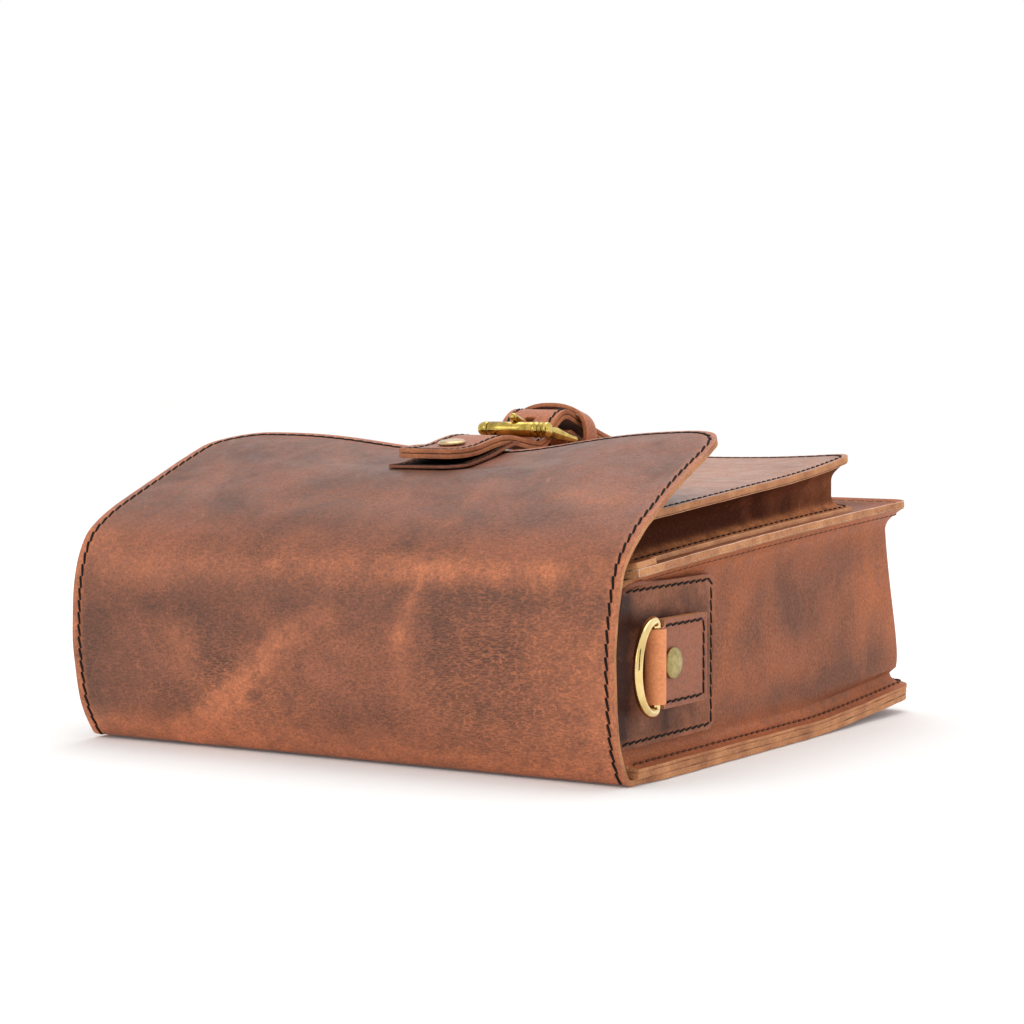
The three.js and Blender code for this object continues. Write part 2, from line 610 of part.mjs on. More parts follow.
// Prong: an eye round the hinge bar and a tapering pin that rests on the roller
function buckleProng() {
  const inside = BUCKLE.wire + GAP;
  const rows = [[inside, -PRONG.half], [PRONG.ring, -PRONG.half], [PRONG.ring, PRONG.half],
    [inside, PRONG.half], [inside, -PRONG.half]];
  const eye = new THREE.LatheGeometry(rows.map(([r, x]) => new THREE.Vector2(r, x)), 16);
  eye.rotateZ(-Math.PI / 2);
  const hinge = V(0, BUCKLE.hingeY, BUCKLE.hingeZ);
  eye.translate(0, hinge.y, hinge.z);
  const tip = V(0, PRONG.tipY, PRONG.tipZ);
  const way = tip.clone().sub(hinge).normalize();
  const length = tip.distanceTo(hinge);
  const middle = [];
  const radii = [];
  const starts = [inside + 0.6, 8, 16, 24, length - 1.2, length - 0.4, length];
  for (const distance of starts) {
    middle.push(hinge.clone().addScaledVector(way, distance));
    const taper = mix(PRONG.root, PRONG.tip, distance / length);
    radii.push(distance > length - 1 ? taper * (distance === length ? 0.45 : 0.85) : taper);
  }
  return join(eye, bar(middle, radii, WIRE_SIDES));
}

// Holding strap: folded round the hinge bar, both ends back on the pocket panel
function buckleChape() {
  const roll = BUCKLE.wire + GAP + CHAPE.leather / 2;
  const P = (y, z) => new THREE.Vector2(y, z);
  const low = (y) => pocketTop(y) + GAP + CHAPE.leather / 2;
  const high = (y) => low(y) + CHAPE.leather + GAP;
  const under = CHAPE_UNDER.map(({ y, z }) => P(y, z ?? low(y)));
  const over = CHAPE_OVER.map(({ y, z }) => P(y, z ?? high(y)));
  const line = [
    ...smoothLine(under, 10),
    ...arc(P(BUCKLE.hingeY, BUCKLE.hingeZ), roll, 280, 66, 12),
    ...smoothLine(over, 10),
  ];
  const whole = strip(line, CHAPE.leather, () => CHAPE.half, (p, w) => V(w, p.x, p.y));
  const slot = new THREE.BoxGeometry(2 * CHAPE.slotHalf, CHAPE.slotEnd - CHAPE.slotStart, SLOT_DEPTH);
  slot.translate(0, (CHAPE.slotEnd + CHAPE.slotStart) / 2, BUCKLE.hingeZ);
  return cut(whole, slot);
}

// Keeper: a closed band round the strap and its holding strap
function strapKeeper() {
  const right = KEEPER_LINE.map((p) => V(p.x, p.z, 0));
  const left = KEEPER_LINE.slice(1, -1).reverse().map((p) => V(-p.x, p.z, 0));
  const curve = new THREE.CatmullRomCurve3([...right, ...left], true);
  return loop(count(KEEPER_STEPS).map((i) => {
    const spot = curve.getPoint(i / KEEPER_STEPS);
    const along = curve.getTangent(i / KEEPER_STEPS);
    const side = V(along.y, -along.x, 0).multiplyScalar(LEATHER / 2);
    const corner = (sign, y) => V(spot.x + sign * side.x, y,
      spot.y + sign * side.y + KEEPER.slope * (y - KEEPER.start));
    return [corner(1, KEEPER.start), corner(1, KEEPER.end),
      corner(-1, KEEPER.end), corner(-1, KEEPER.start)];
  }));
}

// Finishes
const leather = (color) => new THREE.MeshStandardMaterial({ color, roughness: 0.6, metalness: 0 });
const brass = (color, roughness) => new THREE.MeshStandardMaterial({ color, roughness, metalness: 1 });

const bag = new THREE.Group();

function add(name, geometry, material) {
  const mesh = new THREE.Mesh(geometry, material);
  mesh.name = name;
  bag.add(mesh);
  return mesh;
}

// Body
add('flap', flap(), leather(0x7a452c));
add('back_panel', panel({
  half: HALF_WIDTH, start: MOUTH_Y, end: BACK_END, corner: CORNER,
  low: (y) => backLow(y) + LEATHER + GAP, high: (y) => backLow(y) + 2 * LEATHER + GAP,
}), leather(0x8a5233));
add('main_gusset', gusset({
  wall: {
    half: WALL_X, start: MOUTH_Y, end: BACK_END - BASE_SEAM, corner: GUSSET_CORNER,
    lean: FRONT_END - SEAM - (BACK_END - BASE_SEAM),
  },
  low: { half: HALF_WIDTH, end: BACK_END, corner: CORNER },
  high: { half: HALF_WIDTH, end: FRONT_END, corner: CORNER },
  lowHeight: backSeamTop, highHeight: frontSeamLow, swell: gussetSwell, bow: mouthBow,
}), leather(0x8a4f30));
add('front_panel', panel({
  half: HALF_WIDTH, start: MOUTH_Y, end: FRONT_END, corner: CORNER,
  low: (y) => frontTop(y) - LEATHER, high: frontTop,
}), leather(0x83492d));
add('front_top_band', panel({
  half: BAND_HALF, start: MOUTH_Y, end: BAND_END, corner: 3,
  low: (y) => frontTop(y) + GAP, high: (y) => frontTop(y) + GAP + LEATHER,
}), leather(0x8a5233));
add('pocket_gusset', gusset({
  wall: {
    half: POCKET_HALF - POCKET_SEAM, start: POCKET_MOUTH, end: POCKET_END - POCKET_SEAM,
    corner: GUSSET_CORNER, lean: 0,
  },
  low: {
    half: POCKET_HALF - POCKET_SEAM + POCKET_BASE, end: POCKET_END - POCKET_SEAM + POCKET_BASE,
    corner: CORNER,
  },
  high: { half: POCKET_HALF, end: POCKET_END, corner: POCKET_CORNER },
  lowHeight: pocketBaseTop, highHeight: pocketSeamLow, swell: pocketSwell,
}), leather(0x7d472c));
add('pocket_panel', panel({
  half: POCKET_HALF, start: POCKET_MOUTH, end: POCKET_END, corner: POCKET_CORNER,
  low: (y, x) => pocketTop(y, x) - LEATHER, high: pocketTop, columns: PANEL_COLUMNS,
}), leather(0x6e4434));

// Side patches, tabs and rings
for (const [side, mirror] of [['right', 1], ['left', -1]]) {
  add(`side_patch_${side}`, sidePatch(mirror), leather(0x6b412c));
  add(`ring_tab_${side}`, ringTab(mirror), leather(0xb4683f));
  const rivet = add(`tab_rivet_${side}`, domedCap(RIVET.radius, RIVET.height), brass(0x8d8458, 0.45));
  rivet.rotation.z = -mirror * Math.PI / 2;
  rivet.position.set(mirror * (tabTop + GAP), RIVET.y, RING.z);
  add(`d_ring_${side}`, dRing(mirror), brass(0xd8b566, 0.2));
}

// Closure
add('flap_patch', flapPatch(), leather(0x7d452c));
add('closure_strap', closureStrap(), leather(0x8a4e35));
const snap = add('snap', domedCap(SNAP.radius, SNAP.height), brass(0x9a9070, 0.45));
const snapSlope = Math.atan2(STRAP_LINE[3].z - STRAP_LINE[1].z, STRAP_LINE[3].y - STRAP_LINE[1].y);
const snapRise = STRAP.thickness / 2 + GAP + 0.25;
snap.rotation.x = Math.PI / 2 + snapSlope;
snap.position.set(0, SNAP.y - snapRise * Math.sin(snapSlope),
  STRAP_LINE[2].z + snapRise * Math.cos(snapSlope));
add('buckle_frame', buckleFrame(), brass(0xb08d3c, 0.3));
const roller = add('buckle_roller', buckleRoller(), brass(0xa88a3a, 0.32));
roller.position.set(0, BUCKLE.y, BUCKLE.z);
add('buckle_prong', buckleProng(), brass(0xb08d3c, 0.3));
add('buckle_chape', buckleChape(), leather(0x87492f));
add('strap_keeper', strapKeeper(), leather(0x9a5636));

// The origin is under the middle of the whole bag, on the surface that it lies on.
const satchel = new THREE.Group();
satchel.add(bag);
satchel.updateMatrixWorld(true);
const box = new THREE.Box3().setFromObject(satchel, true);
const centre = box.getCenter(V(0, 0, 0));
bag.position.set(-centre.x, -centre.y, -box.min.z);

export default satchel;
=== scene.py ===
# Looks of a leather flap satchel that lies closed on its back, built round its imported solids.
# Sizes are in millimetres in the bag's own places: x from the middle, y from the mouth, z up.
import math

import bpy
import numpy as np
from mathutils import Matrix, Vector


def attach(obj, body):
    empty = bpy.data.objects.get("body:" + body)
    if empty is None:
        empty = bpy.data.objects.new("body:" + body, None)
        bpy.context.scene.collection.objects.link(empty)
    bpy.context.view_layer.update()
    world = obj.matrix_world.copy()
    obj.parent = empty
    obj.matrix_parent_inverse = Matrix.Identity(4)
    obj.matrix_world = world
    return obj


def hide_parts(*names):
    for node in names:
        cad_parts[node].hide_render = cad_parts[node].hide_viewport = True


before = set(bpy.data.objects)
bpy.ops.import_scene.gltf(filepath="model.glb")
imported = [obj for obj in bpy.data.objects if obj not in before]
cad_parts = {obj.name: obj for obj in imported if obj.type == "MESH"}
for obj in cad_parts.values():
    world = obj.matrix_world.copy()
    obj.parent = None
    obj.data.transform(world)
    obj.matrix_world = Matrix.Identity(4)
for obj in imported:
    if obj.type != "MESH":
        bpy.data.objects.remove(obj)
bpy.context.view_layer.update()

MM = 0.001
MOUTH_SHIFT = 112.3           # the bag's mouth lies this far from the frame's origin

# Leather and seams, as in the solids
LEATHER = 2.3
THIN = 1.6
TAB_LEATHER = 1.9
KEEPER_LEATHER = 1.8
GAP = 0.3
RIM = 0.6                     # the front panel is this much thicker than the rest
POCKET_RIM = 0.4              # and the pocket's panel this much
HALF_WIDTH = 129
MOUTH = 0.5
BACK_END = 249
FRONT_END = 245
CORNER = 10
SEAM = 8
BASE_SEAM = 5
FOLD_LOW, FOLD_HIGH, POCKET_FOLD, FOLD_GROWTH = 4, 4.5, 4.7, 1.6
GUSSET_CORNER = 4
SNUG = LEATHER + 0.22         # a layer that is sewn close against the next
MAIN_SKIVE, POCKET_SKIVE = (0.45, 0.85), (0.2, 0.85)   # pared off the gussets' lower and upper seams
SKIVE_RUN = 6                 # how far in from the edge the paring begins
LIFT_START, LIFT, LIFT_POWER = 150, 6.3, 1.3
FRONT_Z, FRONT_SLOPE, FRONT_CURVE = 79.8, 0.07622, 0.0000737
FRONT_DIP, FRONT_FLARE = 1.3, 0.9
SWELL_START, SWELL_RUN, SWELL = 120, 125, 2.6          # the main gusset swells towards the bottom
POCKET_Z, POCKET_SLOPE = 97.8, 0.074
POCKET_START, POCKET_END, POCKET_HALF = 20, 212, 117
POCKET_SEAM, POCKET_BASE, POCKET_CORNER = 7, 8, 11
CURL_RISE, CURL_X, CURL_Y = 3.3, 45, 140
BAND_END, BAND_HALF, BAND_CORNER = 17, 128, 3
FLAP_HALF, FLAP_CORNER, FLAP_DIP = 127, 22, 46         # the flap sags over this half width
BACK_TURN = 22                # where the outer back goes over into the flap's section
BOW_REACH, BOW_RUN, BOW_POWER = 10, 40, 0.45
PATCH_START, PATCH_END, PATCH_LOW, PATCH_HIGH, PATCH_CORNER = 1.5, 68.7, 13, 74.5, 5
PATCH_OUT = 0.9               # the side patches bridge hollows of the wall that are lower than this
RING_Y, RING_Z, RING_WIRE, RING_BOW, RING_CORNER, RING_TILT = 14.2, 43.4, 1.9, 17.3, 2.2, 10
TAB_END, TAB_WIDE, TAB_NARROW, TAB_SHOULDER, TAB_CORNER = 54.5, 17, 14.2, 19.5, 5
RIVET_Y, RIVET_RADIUS, RIVET_HEIGHT = 27, 6.1, 2
STRAP_HALF, STRAP_THICK, STRAP_CORNER, STRAP_SEWN = 13.2, 4, 3, 176
STRAP_SLOT, STRAP_SLOT_START, STRAP_SLOT_ENDS = 2.6, 125.4, (129.8, 131.2)
STRAP_SLIT = 0.08             # half the slit between the strap's two layers
STRAP_BENDS = [(131, 9, 1), (88, 12, 0.6)]             # where it is bent: y, spread, strength
FLAP_PATCH_THICK, FLAP_PATCH_HALF, FLAP_PATCH_START, FLAP_PATCH_CORNER = 1.2, 17.2, 44.3, 5
FLAP_PATCH_PAST, FLAP_PATCH_CURL = 7, 0.8
SNAP_Y, SNAP_RADIUS, SNAP_HEIGHT, SNAP_SEAT = 68.6, 5.9, 1.8, 0.25
BUCKLE_Y, BUCKLE_Z, HINGE_Y, HINGE_Z = 117, 127.5, 143, 122.3
BUCKLE_HALF, BUCKLE_WIRE, BUCKLE_CORNER = 15.8, 1.9, 3.5
ROLLER_HALF, ROLLER_RADIUS = 12.7, 3.3
PRONG_TIP = (0, 114.6, 133.5)
CHAPE_LEATHER, CHAPE_HALF, CHAPE_SLOT, CHAPE_SLOT_END = 2.3, 12.5, 4.2, 153
KEEPER_START, KEEPER_END, KEEPER_SLOPE, KEEPER_MIDDLE = 146.3, 155.5, -0.29, 126
WALL = HALF_WIDTH - SEAM

# Sewing: the thread's pitch and each line's distance from the raw edge
STITCH_PITCH = 5.0
FLAP_INSET, SEAM_INSET, POCKET_INSET, BASE_INSET = 3.3, 4.2, 3.2, 3.0
PATCH_INSET, TAB_INSET, STRAP_INSET = 2.3, 2.4, 2.6
GROOVE, GROOVE_WIDE = 0.32, 0.85            # how deep and wide the thread pulls the leather in
PUFF, PUFF_AWAY, PUFF_WIDE = 0.12, 2.3, 1.2  # the puff of leather between the thread and the edge
FLAP_SEWN_FROM = 0.085                      # share of the flap's section where its sewing begins
BACK_SEWN_FROM, FRONT_SEWN_FROM, GUSSET_SEWN_FROM = 30, 20, 3
THREAD_SINK, FLANGE_SINK, TAB_SINK = 0.2, 0.1, 0.15   # how far thread lies below the leather's face
BACK_THREAD_RISE = 0.62                     # drawn up this far under the bag, clear of the table
BACK_GROOVE, BACK_PUFF_END = 2.2, 2.6       # its groove is this much deeper, with no puff beside it
RIM_TILT = 28                               # degrees that the rim's stitches lean outwards

# Meshes: steps in from a raw edge, and the slack that keeps a rounded corner's last row open
EDGE_STEPS = [0, 0.8, 1.5, 2.2, 2.8, 3.3, 3.8, 4.3, 5, 6, 7.6, 10]
STRIP_STEPS = np.array([0, 0.8, 1.8, 2.6, 3.2, 4.2])
FRONT_STEPS = [22, 19.5, 17, 14.8, 12.8, 11, 9.4, 8, 6.8, 5.8, 5, 4.4, 3.8, 3.3, 2.8, 2.2, 1.6, 1.1, 0.7,
               0.4, 0.15, 0]
OPEN = 0.05
WORN_EDGE, HIGHLIGHT_WIDTH = 0.25, 0.4         # bevels of cut edges, and of those painted pale as a highlight
SHARP, SHEET_SMOOTH, STITCH_SMOOTH, TURNED_SMOOTH = 50, 38, 60, 40   # in degrees
WIRE_WELD, TURNED_WELD = 0.00005, 0.00002   # in metres
FLAP_COLUMNS, PANEL_COLUMNS, PATCH_COLUMNS = 62, 36, 18

# The photograph's camera
CAMERA_PLACE, CAMERA_AZIMUTH, CAMERA_PITCH = (609.77, -837.26, 161.31), 32.635, 3.516
CAMERA_FOCUS, PICTURE_WIDTH, SENSOR = 2622.06, 1024, 36

# Sections of the flap from under the bag to its front edge: left, middle and right (y, z)
FLAP_SECTIONS = np.array([
    [6, 0, 6, 0, 6, 0], [-9, 0.6, -5.7, 0.5, -2.5, 0.4], [-14, 4.5, -9.7, 4.5, -6.3, 4.5],
    [-20.4, 17, -15.5, 17, -11.3, 17], [-23.9, 37.5, -19.9, 37.5, -14, 37.5],
    [-24.25, 53.5, -21, 53.5, -13.9, 53.5], [-22.5, 69, -18.4, 69, -11.5, 69],
    [-16.6, 83.6, -12, 83.3, -6.4, 83], [-4.6, 92.7, 0, 94.2, 5.9, 95.1],
    [12.4, 100.4, 16, 102.6, 23, 105.5], [26, 105.9, 31, 109.8, 34.5, 112],
    [38.8, 111.1, 43, 112.8, 46.8, 117.8], [51, 115.9, 56, 113.3, 56, 122],
    [63, 120.2, 69, 115.4, 64.4, 126.4], [72.5, 122.8, 79, 117.2, 71.5, 128.9],
    [80.5, 125, 88, 119.2, 78.5, 130.3],
])
STRAP_LINE = [
    (47.2, 119.3), (58, 119.4), (68.6, 120.3), (75, 121.5), (81, 122.7), (88, 123.7), (96, 123.5),
    (105, 122), (113, 120.9), (118.5, 120.8), (123, 122.9), (127, 126.9), (131, 130.7), (135.5, 133.1),
    (140, 133.6), (146, 131.6), (152, 129.3), (160, 126.2), (170, 122.9), (178, 120.6),
]
KEEPER_LINE = [
    (0, 115.4), (11.5, 115.5), (15.8, 118.5), (17.5, 124), (16.8, 130.2), (13.6, 134.5),
    (7.2, 136.8), (0, 137.4),
]

# Where the flap's wax has been pulled and shows orange: from (x, s) to (x, s), spread, strength.
# s is the way along the flap from where it leaves the table.
PULLED = [
    ((-124, 100), (-110, 97), 6, 0.4), ((-112, 88), (-30, 91), 5, 0.28), ((-24, 93), (28, 94), 5, 0.3),
    ((30, 94), (52, 94), 5, 0.85), ((52, 94), (98, 95), 5, 0.55), ((98, 95), (124, 96), 9, 0.35),
    ((-124, 97), (124, 97), 15, 0.12), ((-76, 19), (-48, 38), 6, 0.9), ((-48, 38), (-22, 62), 6, 0.7),
    ((-20, 64), (0, 74), 7, 0.3), ((-62, 22), (-20, 40), 14, 0.35), ((-71, 62), (-67, 50), 7, 0.4),
    ((-122, 20), (-70, 19), 7, 0.75), ((-70, 19), (126, 17), 8, 0.65), ((41, 88), (36, 68), 3, 0.5),
    ((36, 68), (36, 42), 4, 0.35), ((44, 118), (44, 151), 3, 0.25), ((86, 138), (106, 134), 8, 0.35),
    ((-30, 131), (0, 131), 10, 0.2), ((105, 64), (118, 46), 16, 0.4), ((60, 38), (110, 22), 16, 0.25),
    ((119, 70), (120, 30), 5, 0.35),
]
# Where it is dark and greyish: middle (x, s), spread across, spread along, strength
CLOUDED = [
    ((-112, 60), 16, 22, 0.7), ((-92, 75), 24, 7, 0.45), ((-66, 70), 18, 6, 0.35), ((-106, 38), 9, 9, 0.4),
    ((-72, 36), 9, 9, 0.4), ((-52, 48), 12, 8, 0.5), ((-36, 64), 10, 7, 0.4), ((-20, 80), 40, 7, 0.3),
    ((66, 85), 24, 5, 0.7), ((104, 84), 18, 5, 0.45), ((75, 64), 12, 6, 0.35), ((69, 38), 12, 7, 0.4),
    ((10, 33), 24, 9, 0.45), ((-14, 43), 10, 6, 0.25), ((30, 103), 6, 1.4, 0.6), ((0, 170), 150, 34, 0.2),
    ((-60, 118), 60, 8, 0.15), ((60, 122), 60, 8, 0.15),
]
# Where the grain is broken up by fine wrinkles: middle (x, s), spread across, along, strength
WRINKLED = [
    ((100, 45), 50, 42, 0.9), ((20, 94), 110, 8, 0.5), ((-45, 38), 26, 18, 0.7), ((10, 45), 150, 40, 0.3),
]
# Wear of the back and the panels, at x and y, and of the gusset's sides, at y and a share of the height;
# the sides' lighter blots are partly pulled wax and partly a painted highlight
BACK_PULLED, BACK_CLOUDED = [((40, 120), 60, 30, 0.25)], [((-40, 170), 50, 50, 0.3)]
PANEL_PULLED = [((60, 150), 40, 50, 0.25)]
SIDE_PULLED_AND_LIT = [((216, 0.6), 12, 0.2, 0.5), ((240, 0.3), 8, 0.25, 0.2)]
SIDE_CLOUDED = [
    ((140, 0.62), 34, 0.26, 0.4), ((216, 0.24), 11, 0.13, 0.5), ((150, 0.14), 80, 0.1, 0.7),
    ((155, 0.12), 3.2, 0.018, 0.9),
]
# Attributes of the leather; clouded holds dye clouds, and on the pocket's gusset and the patches painted
# shade
WEAR_AND_SHADE = ("pulled", "clouded", "wrinkled")


def linear(code):
    """sRGB hex to linear colour."""
    parts = [int(code[i:i + 2], 16) / 255 for i in (1, 3, 5)]
    return [c / 12.92 if c <= 0.04045 else ((c + 0.055) / 1.055) ** 2.4 for c in parts] + [1]


def add_node(tree, kind, inputs=None, **settings):
    """Adds a node; inputs maps a socket to a value or to the socket that feeds it."""
    made = tree.nodes.new(kind)
    for key, value in settings.items():
        setattr(made, key, value)
    for key, value in (inputs or {}).items():
        if isinstance(value, bpy.types.NodeSocket):
            tree.links.new(value, made.inputs[key])
        else:
            made.inputs[key].default_value = value
    return made


def smooth(t):
    t = np.clip(t, 0, 1)
    return t * t * (3 - 2 * t)


def points(x, y, z):
    """Places from their coordinates, any of which may be one number for all."""
    return np.stack(np.broadcast_arrays(x, y, z), -1)


def blots(x, y, table):
    """Sum of soft blots, each (middle, spread across, spread along, strength)."""
    total = np.zeros_like(x)
    for (x0, y0), wide, tall, strength in table:
        total = total + strength * np.exp(-((x - x0) / wide) ** 2 - ((y - y0) / tall) ** 2)
    return total


def deselect():
    if bpy.context.mode != "OBJECT":
        bpy.ops.object.mode_set(mode="OBJECT")
    bpy.ops.object.select_all(action="DESELECT")


def activate(piece):
    deselect()
    piece.select_set(True)
    bpy.context.view_layer.objects.active = piece


def join(piece, *others):
    activate(piece)
    for other in others:
        other.select_set(True)
    bpy.ops.object.join()


def keep(piece, slot, *nodes, body="bag"):
    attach(piece, body)
    if nodes:
        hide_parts(*nodes)


# Heights of the body's layers
def back_low(y):
    return LIFT * np.clip((y - LIFT_START) / (BACK_END - LIFT_START), 0, None) ** LIFT_POWER


def edge_distance(x, y, half, end, corner):
    """Distance in from the edge of a sheet with two rounded corners at its end."""
    aside = half - np.abs(x)
    ahead = np.abs(end - y)
    round_off = corner - np.hypot(np.maximum(corner - aside, 0), np.maximum(corner - ahead, 0))
    return np.where((aside < corner) & (ahead < corner), round_off, np.minimum(aside, ahead))


def front_top(y, x=0):
    """The front panel, which sinks a little under the pocket and flares up at its rim."""
    edge = edge_distance(x, y, HALF_WIDTH, FRONT_END, CORNER)
    dip = FRONT_DIP * smooth((edge - 5) / 8) - FRONT_FLARE * np.exp(-(edge / 3) ** 2)
    return FRONT_Z + FRONT_SLOPE * y - FRONT_CURVE * y * y - dip


def pocket_top(y, x=0):
    """The pocket's panel, whose far corners curl up."""
    curl_x = np.clip((np.abs(x) - CURL_X) / (POCKET_HALF - CURL_X), 0, 1) ** 2
    curl_y = np.clip((y - CURL_Y) / (POCKET_END - CURL_Y), 0, 1) ** 2
    return POCKET_Z + POCKET_SLOPE * y + CURL_RISE * curl_x * curl_y


def back_top(y, x=0):
    return back_low(y) + 2 * LEATHER + GAP + 0 * x


def back_seam_top(y, x=0):
    return back_low(y) + 3 * LEATHER + 2 * GAP


def front_seam_low(y, x=0):
    return front_top(y, x) - 2 * LEATHER - GAP - RIM


def pocket_base_top(y, x=0):
    return front_top(y, x) + GAP + LEATHER


def pocket_seam_low(y, x=0):
    return pocket_top(y, x) - 2 * LEATHER - GAP - POCKET_RIM


def main_folds(y):
    """Radii of the main gusset's lower and upper fold, the upper one wider away from the mouth."""
    return FOLD_LOW, FOLD_HIGH + FOLD_GROWTH * smooth((y - 45) / 50)


def pocket_folds(y):
    return POCKET_FOLD, POCKET_FOLD


def gusset_swell(y):
    return 1 + SWELL * smooth((y - SWELL_START) / SWELL_RUN)


def pocket_swell(y):
    return 0.0


def mouth_bow(y, share):
    """How far the side walls bow out of the mouth between their seams."""
    out = BOW_REACH * np.sin(math.pi * np.clip(share, 0, 1)) ** BOW_POWER
    return out * np.clip(1 - (y - MOUTH) / BOW_RUN, 0, 1)


def skive(edge, amount):
    """Share of a seam's thickness that is pared away towards its edge."""
    return amount * smooth((SKIVE_RUN - edge) / SKIVE_RUN)


def wall_bulge(t):
    """Shape of a gusset's wall between its folds, fullest low down."""
    return np.sin(math.pi * np.sqrt(np.clip(t, 0, 1))) ** 0.6 * (1.2 - 1.1 * t)


# Materials, and the few nodes that they share
def new_material(name):
    """An empty material, its nodes, and the place on the piece for its textures."""
    material = bpy.data.materials.new(name)
    material.use_nodes = True
    tree = material.node_tree
    tree.nodes.clear()
    return material, tree, add_node(tree, "ShaderNodeTexCoord").outputs["Object"]


def noise(tree, place, size, detail, **more):
    """Outputs of noise in blots of about a size in metres."""
    inputs = {"Vector": place, "Scale": 1 / size, "Detail": detail, **more}
    return add_node(tree, "ShaderNodeTexNoise", inputs).outputs


def remap(tree, value, low, high, to_low=0.0, to_high=1.0):
    return add_node(tree, "ShaderNodeMapRange", {
        "Value": value, "From Min": low, "From Max": high, "To Min": to_low, "To Max": to_high}).outputs[0]


def sums(tree, operation, *values, clamp=False):
    inputs = dict(enumerate(values))
    return add_node(tree, "ShaderNodeMath", inputs, operation=operation, use_clamp=clamp).outputs[0]


def mix(tree, share, first, second):
    """A mix of two colours, each a hex code or another node's colour."""
    first, second = (linear(c) if isinstance(c, str) else c for c in (first, second))
    return add_node(tree, "ShaderNodeMix", {0: share, 6: first, 7: second}, data_type="RGBA").outputs[2]


def vectors(tree, operation, first, second):
    return add_node(tree, "ShaderNodeVectorMath", {0: first, 1: second}, operation=operation).outputs[0]


def mapped(tree, place, turn, scale):
    inputs = {"Vector": place, "Rotation": turn, "Scale": scale}
    return add_node(tree, "ShaderNodeMapping", inputs, vector_type="TEXTURE").outputs[0]


def bump(tree, height, strength, distance):
    inputs = {"Height": height, "Strength": strength, "Distance": distance}
    return add_node(tree, "ShaderNodeBump", inputs).outputs[0]


def surface(tree, inputs):
    shader = add_node(tree, "ShaderNodeBsdfPrincipled", inputs)
    add_node(tree, "ShaderNodeOutputMaterial", {"Surface": shader.outputs[0]})


def pull_up_leather(name, dark, middle, pulled, grain, gloss=0.42, shine=0.5, speckle=0.32):
    """Oiled pull-up cowhide, dyed through and waxed: cloudy brown that turns orange where it has
    been bent, with a fine grain that breaks into wrinkles, light scratches and a low waxy gloss."""
    material, tree, place = new_material(name)
    cloud = noise(tree, place, 0.038, 4.0, Roughness=0.58, Distortion=0.6)["Fac"]
    mottle = noise(tree, place, 0.0075, 5.0, Roughness=0.65)
    fleck = noise(tree, place, 0.0011, 4.0, Roughness=0.6)["Fac"]
    pull, cast, crease = [add_node(tree, "ShaderNodeAttribute", attribute_name=key).outputs["Fac"]
                          for key in WEAR_AND_SHADE]
    # Clouds of dye, darker where the clouded attribute is set: mostly thick wax, but painted shade on the
    # pocket's gusset and the patches
    shade = sums(tree, "SUBTRACT", remap(tree, cloud, 0.3, 0.66), cast, clamp=True)
    brown = mix(tree, shade, dark, middle)
    # Orange where the leather was bent, broken up by the mottle
    patchy = remap(tree, mottle["Fac"], 0.3, 0.66, 0.35, 1.25)
    tan = mix(tree, sums(tree, "MULTIPLY", pull, patchy, clamp=True), brown, pulled)
    # Wrinkles in a wavy net, about 1 mm apart and several long; its lines are worn light
    warp = vectors(tree, "MULTIPLY", mottle["Color"], (0.004, 0.004, 0.004))
    moved = vectors(tree, "ADD", place, warp)
    wide = mapped(tree, moved, (0, -0.1, 0), (2.9 * grain, 1.7 * grain, 0.58 * grain))
    net = add_node(tree, "ShaderNodeTexVoronoi", {"Vector": wide, "Scale": 1.0}, feature="DISTANCE_TO_EDGE")
    ridge = remap(tree, net.outputs["Distance"], 0.17, 0.02)
    raised = sums(tree, "MULTIPLY", ridge, crease)
    worn = sums(tree, "MULTIPLY", sums(tree, "MULTIPLY", raised, patchy), 0.46, clamp=True)
    # Scratches about 30 mm long and 1 mm wide
    slanted = mapped(tree, moved, (0.2, 0.55, 0.3), (0.03, 0.008, 0.0016))
    scratch = remap(tree, noise(tree, slanted, 1.0, 2.0)["Fac"], 0.7, 0.84, 0.0, 0.5)
    lifted = mix(tree, sums(tree, "ADD", worn, scratch, clamp=True), tan, pulled)
    # Specks of the grain, and painted shade in the cells between the wrinkles with a painted highlight on
    # their lines
    wrinkle_light_and_shade = sums(tree, "MULTIPLY_ADD", remap(tree, ridge, 0.0, 1.0, -0.07, 0.1), crease, 1.0)
    speck = remap(tree, fleck, 0.3, 0.7, 1 - speckle, 1 + speckle)
    colour = vectors(tree, "MULTIPLY", lifted, sums(tree, "MULTIPLY", speck, wrinkle_light_and_shade))
    rough = remap(tree, mottle["Fac"], 0.3, 0.7, gloss - 0.05, gloss + 0.12)
    # Fine grain everywhere, and the ridges where it is wrinkled
    height = sums(tree, "MULTIPLY_ADD", fleck, 0.7, raised)
    relief = bump(tree, height, sums(tree, "MULTIPLY_ADD", crease, 0.3, 0.2), 0.0003)
    surface(tree, {"Base Color": colour, "Roughness": rough, "Normal": relief, "IOR": 1.46,
                   "Specular IOR Level": shine})
    return material


def raw_edge(name, light, dark):
    """Cut edge of vegetable-tanned leather, left raw: pale tan fibres in streaks, matt."""
    material, tree, place = new_material(name)
    fibre = noise(tree, place, 0.0009, 3.0, Roughness=0.7)["Fac"]
    streak = sums(tree, "ADD", fibre, noise(tree, place, 0.011, 3.0)["Fac"])
    colour = mix(tree, remap(tree, streak, 0.72, 1.25), dark, light)
    surface(tree, {"Base Color": colour, "Roughness": 0.72, "Normal": bump(tree, fibre, 0.45, 0.0005)})
    return material


